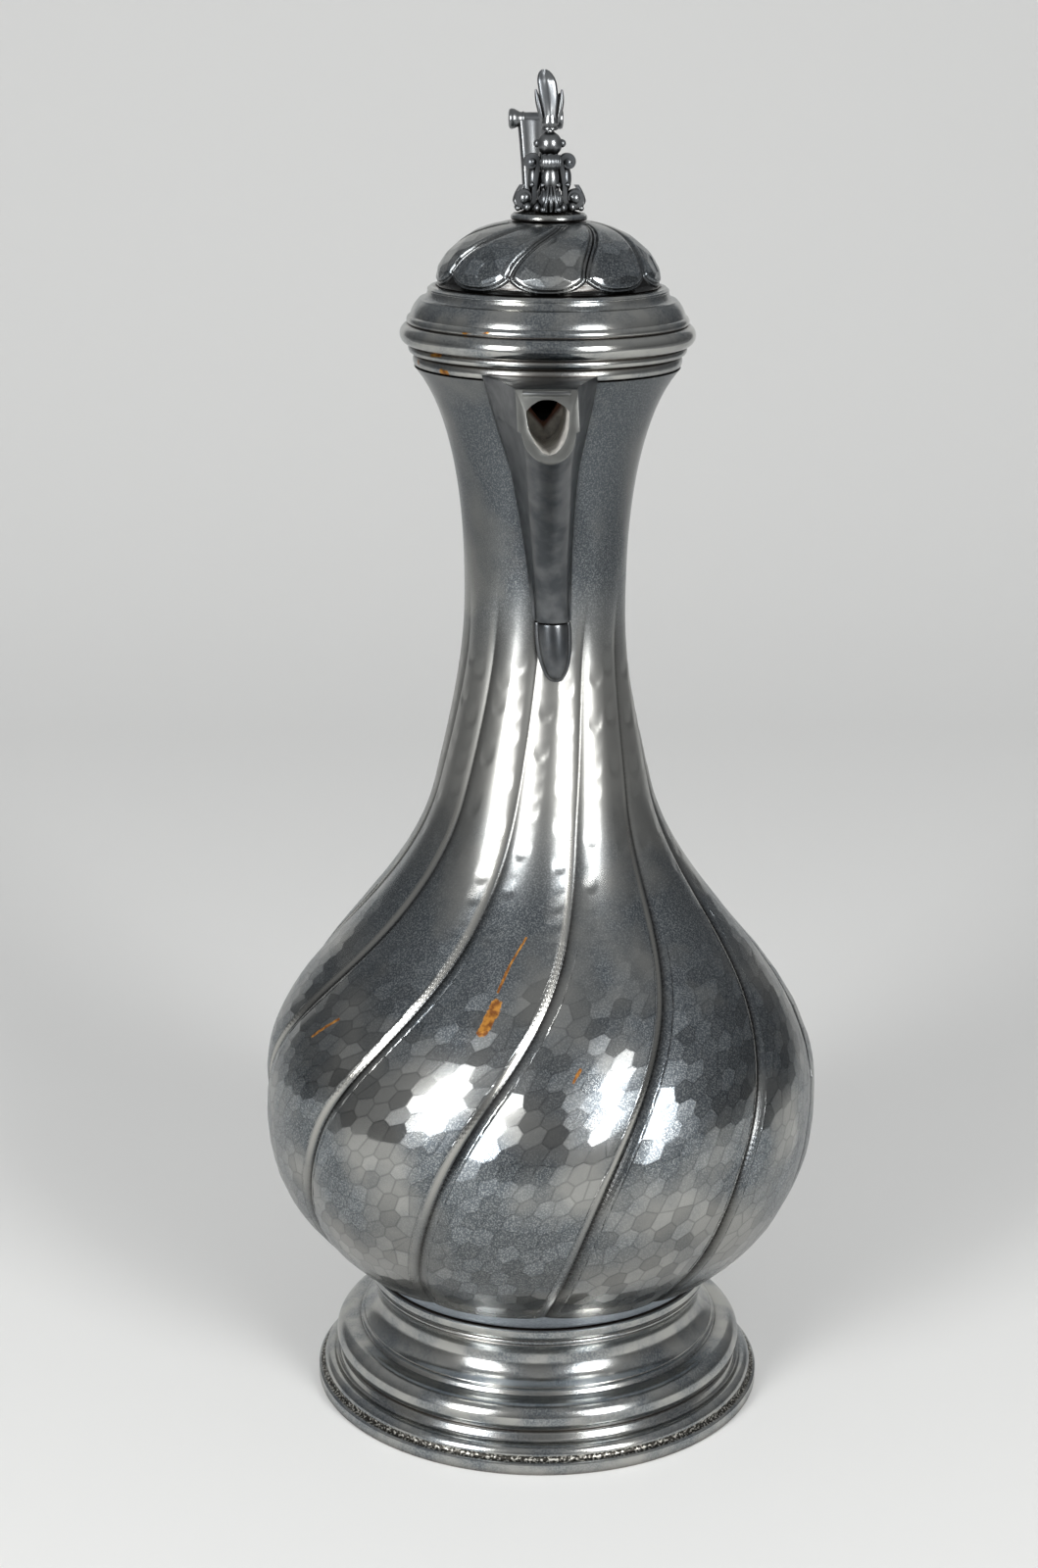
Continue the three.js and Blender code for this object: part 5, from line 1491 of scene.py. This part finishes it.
def bracket(name, turn_degrees):
    """One bracket with the leaf on its foot curl, turned to its side of the stem."""
    strap = swept(name, strap_path, strap_section)
    leaf_rings = []
    for share in np.linspace(0, 1, 15):
        z = 324.0 + 6.2 * share
        half = 2.25 * (1 - 0.6 * share ** 1.6) * (1 - 0.2 * smooth_step(-share, -0.2, 0))
        out = 8.2 + 1.25 * smooth_step(share, 0, 0.4) - 1.7 * share ** 2.5
        across = np.linspace(-1, 1, 22)
        lobes = 0.85 * np.abs(np.cos(1.5 * np.pi * across)) ** 0.8 * (1 - 0.45 * share)
        front = [(half * u, -(out - 0.75 + lobe), z) for u, lobe in zip(across, lobes)]
        leaf_rings.append(front + [(half * u, -(out - 1.5), z) for u in (0.9, 0.3, -0.3, -0.9)])
    eyes = [ball((0, 0, 0), 1) for _ in range(2)]
    for eye, (r, z), wide, round_ in zip(eyes, (FOOT_CURL, HEAD_CURL), (3.1, 2.8), (2.25, 1.85)):
        set_coordinates(eye.data, coordinates(eye.data) * (wide, round_, round_) + (0, -r, z))
    belly = ball((0, 0, 0), 1)
    set_coordinates(belly.data, coordinates(belly.data) * (2.15, 1.7, 3.6) + (0, -3.9, 331.7))
    parts = [strap, *eyes, loft_rings("leaf", leaf_rings), belly,
             *(ball((side * 1.95, -8.0, 324.5), 0.75) for side in (-1, 1)),
             *(ball((side * 3.0, -5.5, 324.8), 1.2) for side in (-1, 1)),
             *(ball((side * 1.9, -4.5, 330.3), 0.7) for side in (-1, 1))]
    piece = join_pieces(parts)
    piece.rotation_euler = (0, 0, math.radians(turn_degrees))
    bpy.ops.object.select_all(action="DESELECT")
    piece.select_set(True)
    bpy.context.view_layer.objects.active = piece
    bpy.ops.object.transform_apply(location=True, rotation=True, scale=True)
    return piece


for side, turn_degrees in (("front", 0), ("right", 90), ("back", 180), ("left", 270)):
    dress(bracket(f"finial_scroll_{side}_cast", turn_degrees), "lid", [f"finial_scroll_{side}"], "cast_pewter",
          smooth_degrees=50)

# %% [markdown]
# The bud is a long dished petal that stands up and bends a little to one side, with a pair of slim
# petals left and right of it. A knurled neck joins it to the ball below.

# %% Bud
neck_outline = [(0, 343.6), (1.7, 343.6), (2.1, 343.85), (2.1, 344.2), (1.75, 344.45), (1.8, 344.8), (2.15, 345.05),
                (2.2, 345.5), (2.0, 346.2), (1.8, 347.6), (0, 348.6)]
bud_neck = spin_outline("bud_neck", neck_outline, 40, closed=False)
petals = []
for side in (-1, 1):
    for back, top, lean in ((-0.45, 353.6, 3.25), (0.75, 352.6, 2.7)):
        rings = []
        for share in np.linspace(0, 1, 16):
            swell = math.sin(math.pi * (0.08 + 0.88 * share)) ** 0.6
            x = side * (1.9 + (lean - 1.9) * math.sin(1.35 * share) / math.sin(1.35)) - 0.4 * share ** 2
            rings.append((x, back, 345.6 + (top - 345.6) * share, 0.72 * swell, 0.9 * swell))
        petals.append(spindle("petal", rings))
tongue_rings = []
for share in np.linspace(0, 1, 34):
    z = 345.8 + 12.6 * share
    half = 1.6 + 0.8 * smooth_step(share, 0.05, 0.6)
    half *= math.sqrt(max(1 - ((share - 0.72) / 0.29) ** 2, 0.01)) if share > 0.72 else 1
    x = -1.55 * share ** 1.8
    y = -0.95 + 0.75 * smooth_step(share, 0.75, 1.0) - 0.35 * math.sin(math.pi * share)
    across = np.linspace(-1, 1, 20)
    ridge = 0.16 * np.cos(2 * np.pi * across) * (1 - 0.8 * math.sin(math.pi * share))
    front = [(x + half * u, y - 0.75 * math.sqrt(max(1 - u * u, 0)) - up * (1 - abs(u)), z)
             for u, up in zip(across, ridge)]
    back_side = [(x + half * u, y + 0.8 * math.sqrt(max(1 - u * u, 0)), z) for u in np.linspace(0.94, -0.94, 14)]
    tongue_rings.append(front + back_side)
bud = join_pieces([bud_neck, *petals, loft_rings("tongue", tongue_rings)])
dress(bud, "lid", ["finial_bud"], "cast_pewter", smooth_degrees=50)

# %% [markdown]
# The jug stands on a plain pale table that curves up behind it without an edge, as a paper sweep
# does in a studio. A quarter circle between two straight runs makes the curve. The sweep is not part of the jug.

# %% Paper sweep
SWEEP_HALF_WIDTH = 0.9
SWEEP_BACK = 1.6
SWEEP_FRONT = -0.45
SWEEP_HEIGHT = 3.0
SWEEP_CURVE = 0.9

curve = [(SWEEP_FRONT, 0)]
for step in range(13):
    angle = math.radians(90 * step / 12)
    curve.append((SWEEP_BACK - SWEEP_CURVE + SWEEP_CURVE * math.sin(angle), SWEEP_CURVE * (1 - math.cos(angle))))
curve.append((SWEEP_BACK, SWEEP_HEIGHT))
vertices = [(side * SWEEP_HALF_WIDTH, y, z) for side in (-1, 1) for y, z in curve]
count = len(curve)
faces = [(i, i + count, i + count + 1, i + 1) for i in range(count - 1)]
sweep_mesh = bpy.data.meshes.new("paper_sweep")
sweep_mesh.from_pydata(vertices, [], faces)
sweep = bpy.data.objects.new("paper_sweep", sweep_mesh)
bpy.context.scene.collection.objects.link(sweep)
for polygon in sweep_mesh.polygons:
    polygon.use_smooth = True
paper, paper_tree, paper_shader = new_material("matt_paper")
paper_shader.inputs["Base Color"].default_value = linear("DCDCDA")
paper_shader.inputs["Roughness"].default_value = 0.9
paper_shader.inputs["Emission Color"].default_value = (1, 1, 1, 1)
rays = add_node(paper_tree, "ShaderNodeLightPath").outputs
seen = calc(paper_tree, "MAXIMUM", rays["Is Camera Ray"], rays["Is Glossy Ray"])
paper_tree.links.new(calc(paper_tree, "MULTIPLY", seen, 0.1), paper_shader.inputs["Emission Strength"])
sweep_mesh.materials.append(paper)

# %% [markdown]
# Two soft boxes stand left and right in front of the jug. A polished metal shows its lamps as bright
# shapes, so they stay large and plain.

# %% Lamps
def soft_box(name, place, width, height, watts):
    """An area lamp that looks at the middle of the jug."""
    lamp = bpy.data.lights.new(name, "AREA")
    lamp.shape = "RECTANGLE"
    lamp.size = width
    lamp.size_y = height
    lamp.energy = watts
    holder = bpy.data.objects.new(name, lamp)
    bpy.context.scene.collection.objects.link(holder)
    holder.location = place
    towards = Vector((0, 0, 0.16)) - Vector(place)
    holder.rotation_euler = towards.to_track_quat("-Z", "Y").to_euler()


soft_box("box_left", (-1.01, -1.2, 0.62), 0.44, 0.95, 25)
soft_box("box_right", (0.87, -1.31, 0.66), 0.44, 0.95, 23)

world = bpy.data.worlds.new("studio")
world.use_nodes = True
world_tree = world.node_tree
towards = add_node(world_tree, "ShaderNodeTexCoord").outputs["Generated"]
upwards = add_node(world_tree, "ShaderNodeSeparateXYZ", None, {"Vector": towards}).outputs["Z"]
background = world_tree.nodes["Background"]
background.inputs["Color"].default_value = linear("E6E8EA")
strength = calc(world_tree, "ADD", ramp(world_tree, upwards, 0, 0.9, 0.16, 0.5),
                ramp(world_tree, upwards, 0, -0.3, 0, 0.3))
world_tree.links.new(strength, background.inputs["Strength"])
bpy.context.scene.world = world
bpy.context.scene.view_settings.view_transform = "Standard"

# %% [markdown]
# The camera stands where the photographer's did: a little to the spout's right-hand side, 0.7 m
# away, looking down by 16 degrees.

# %% Camera
VIEW_TURN = -3.5
CAMERA_DISTANCE = 710.8 * MM
CAMERA_HEIGHT = 376.8 * MM
LOOK_DOWN = 16.04
LOOK_ASIDE = 0.52
CAMERA_ROLL = 0.456
LENS = 63.2

camera = bpy.data.cameras.new("camera")
camera.lens = LENS
camera.sensor_width = 36
camera.clip_start = 0.05
camera_holder = bpy.data.objects.new("camera", camera)
bpy.context.scene.collection.objects.link(camera_holder)
stand = Matrix.Rotation(math.radians(VIEW_TURN), 4, "Z") @ Matrix.Translation((0, -CAMERA_DISTANCE, CAMERA_HEIGHT))
aim = (Matrix.Rotation(math.radians(LOOK_ASIDE), 4, "Z")
       @ Matrix.Rotation(math.radians(90 - LOOK_DOWN), 4, "X")
       @ Matrix.Rotation(math.radians(CAMERA_ROLL), 4, "Z"))
camera_holder.matrix_world = stand @ aim
bpy.context.scene.camera = camera_holder

# %% Update the scene
bpy.context.view_layer.update()
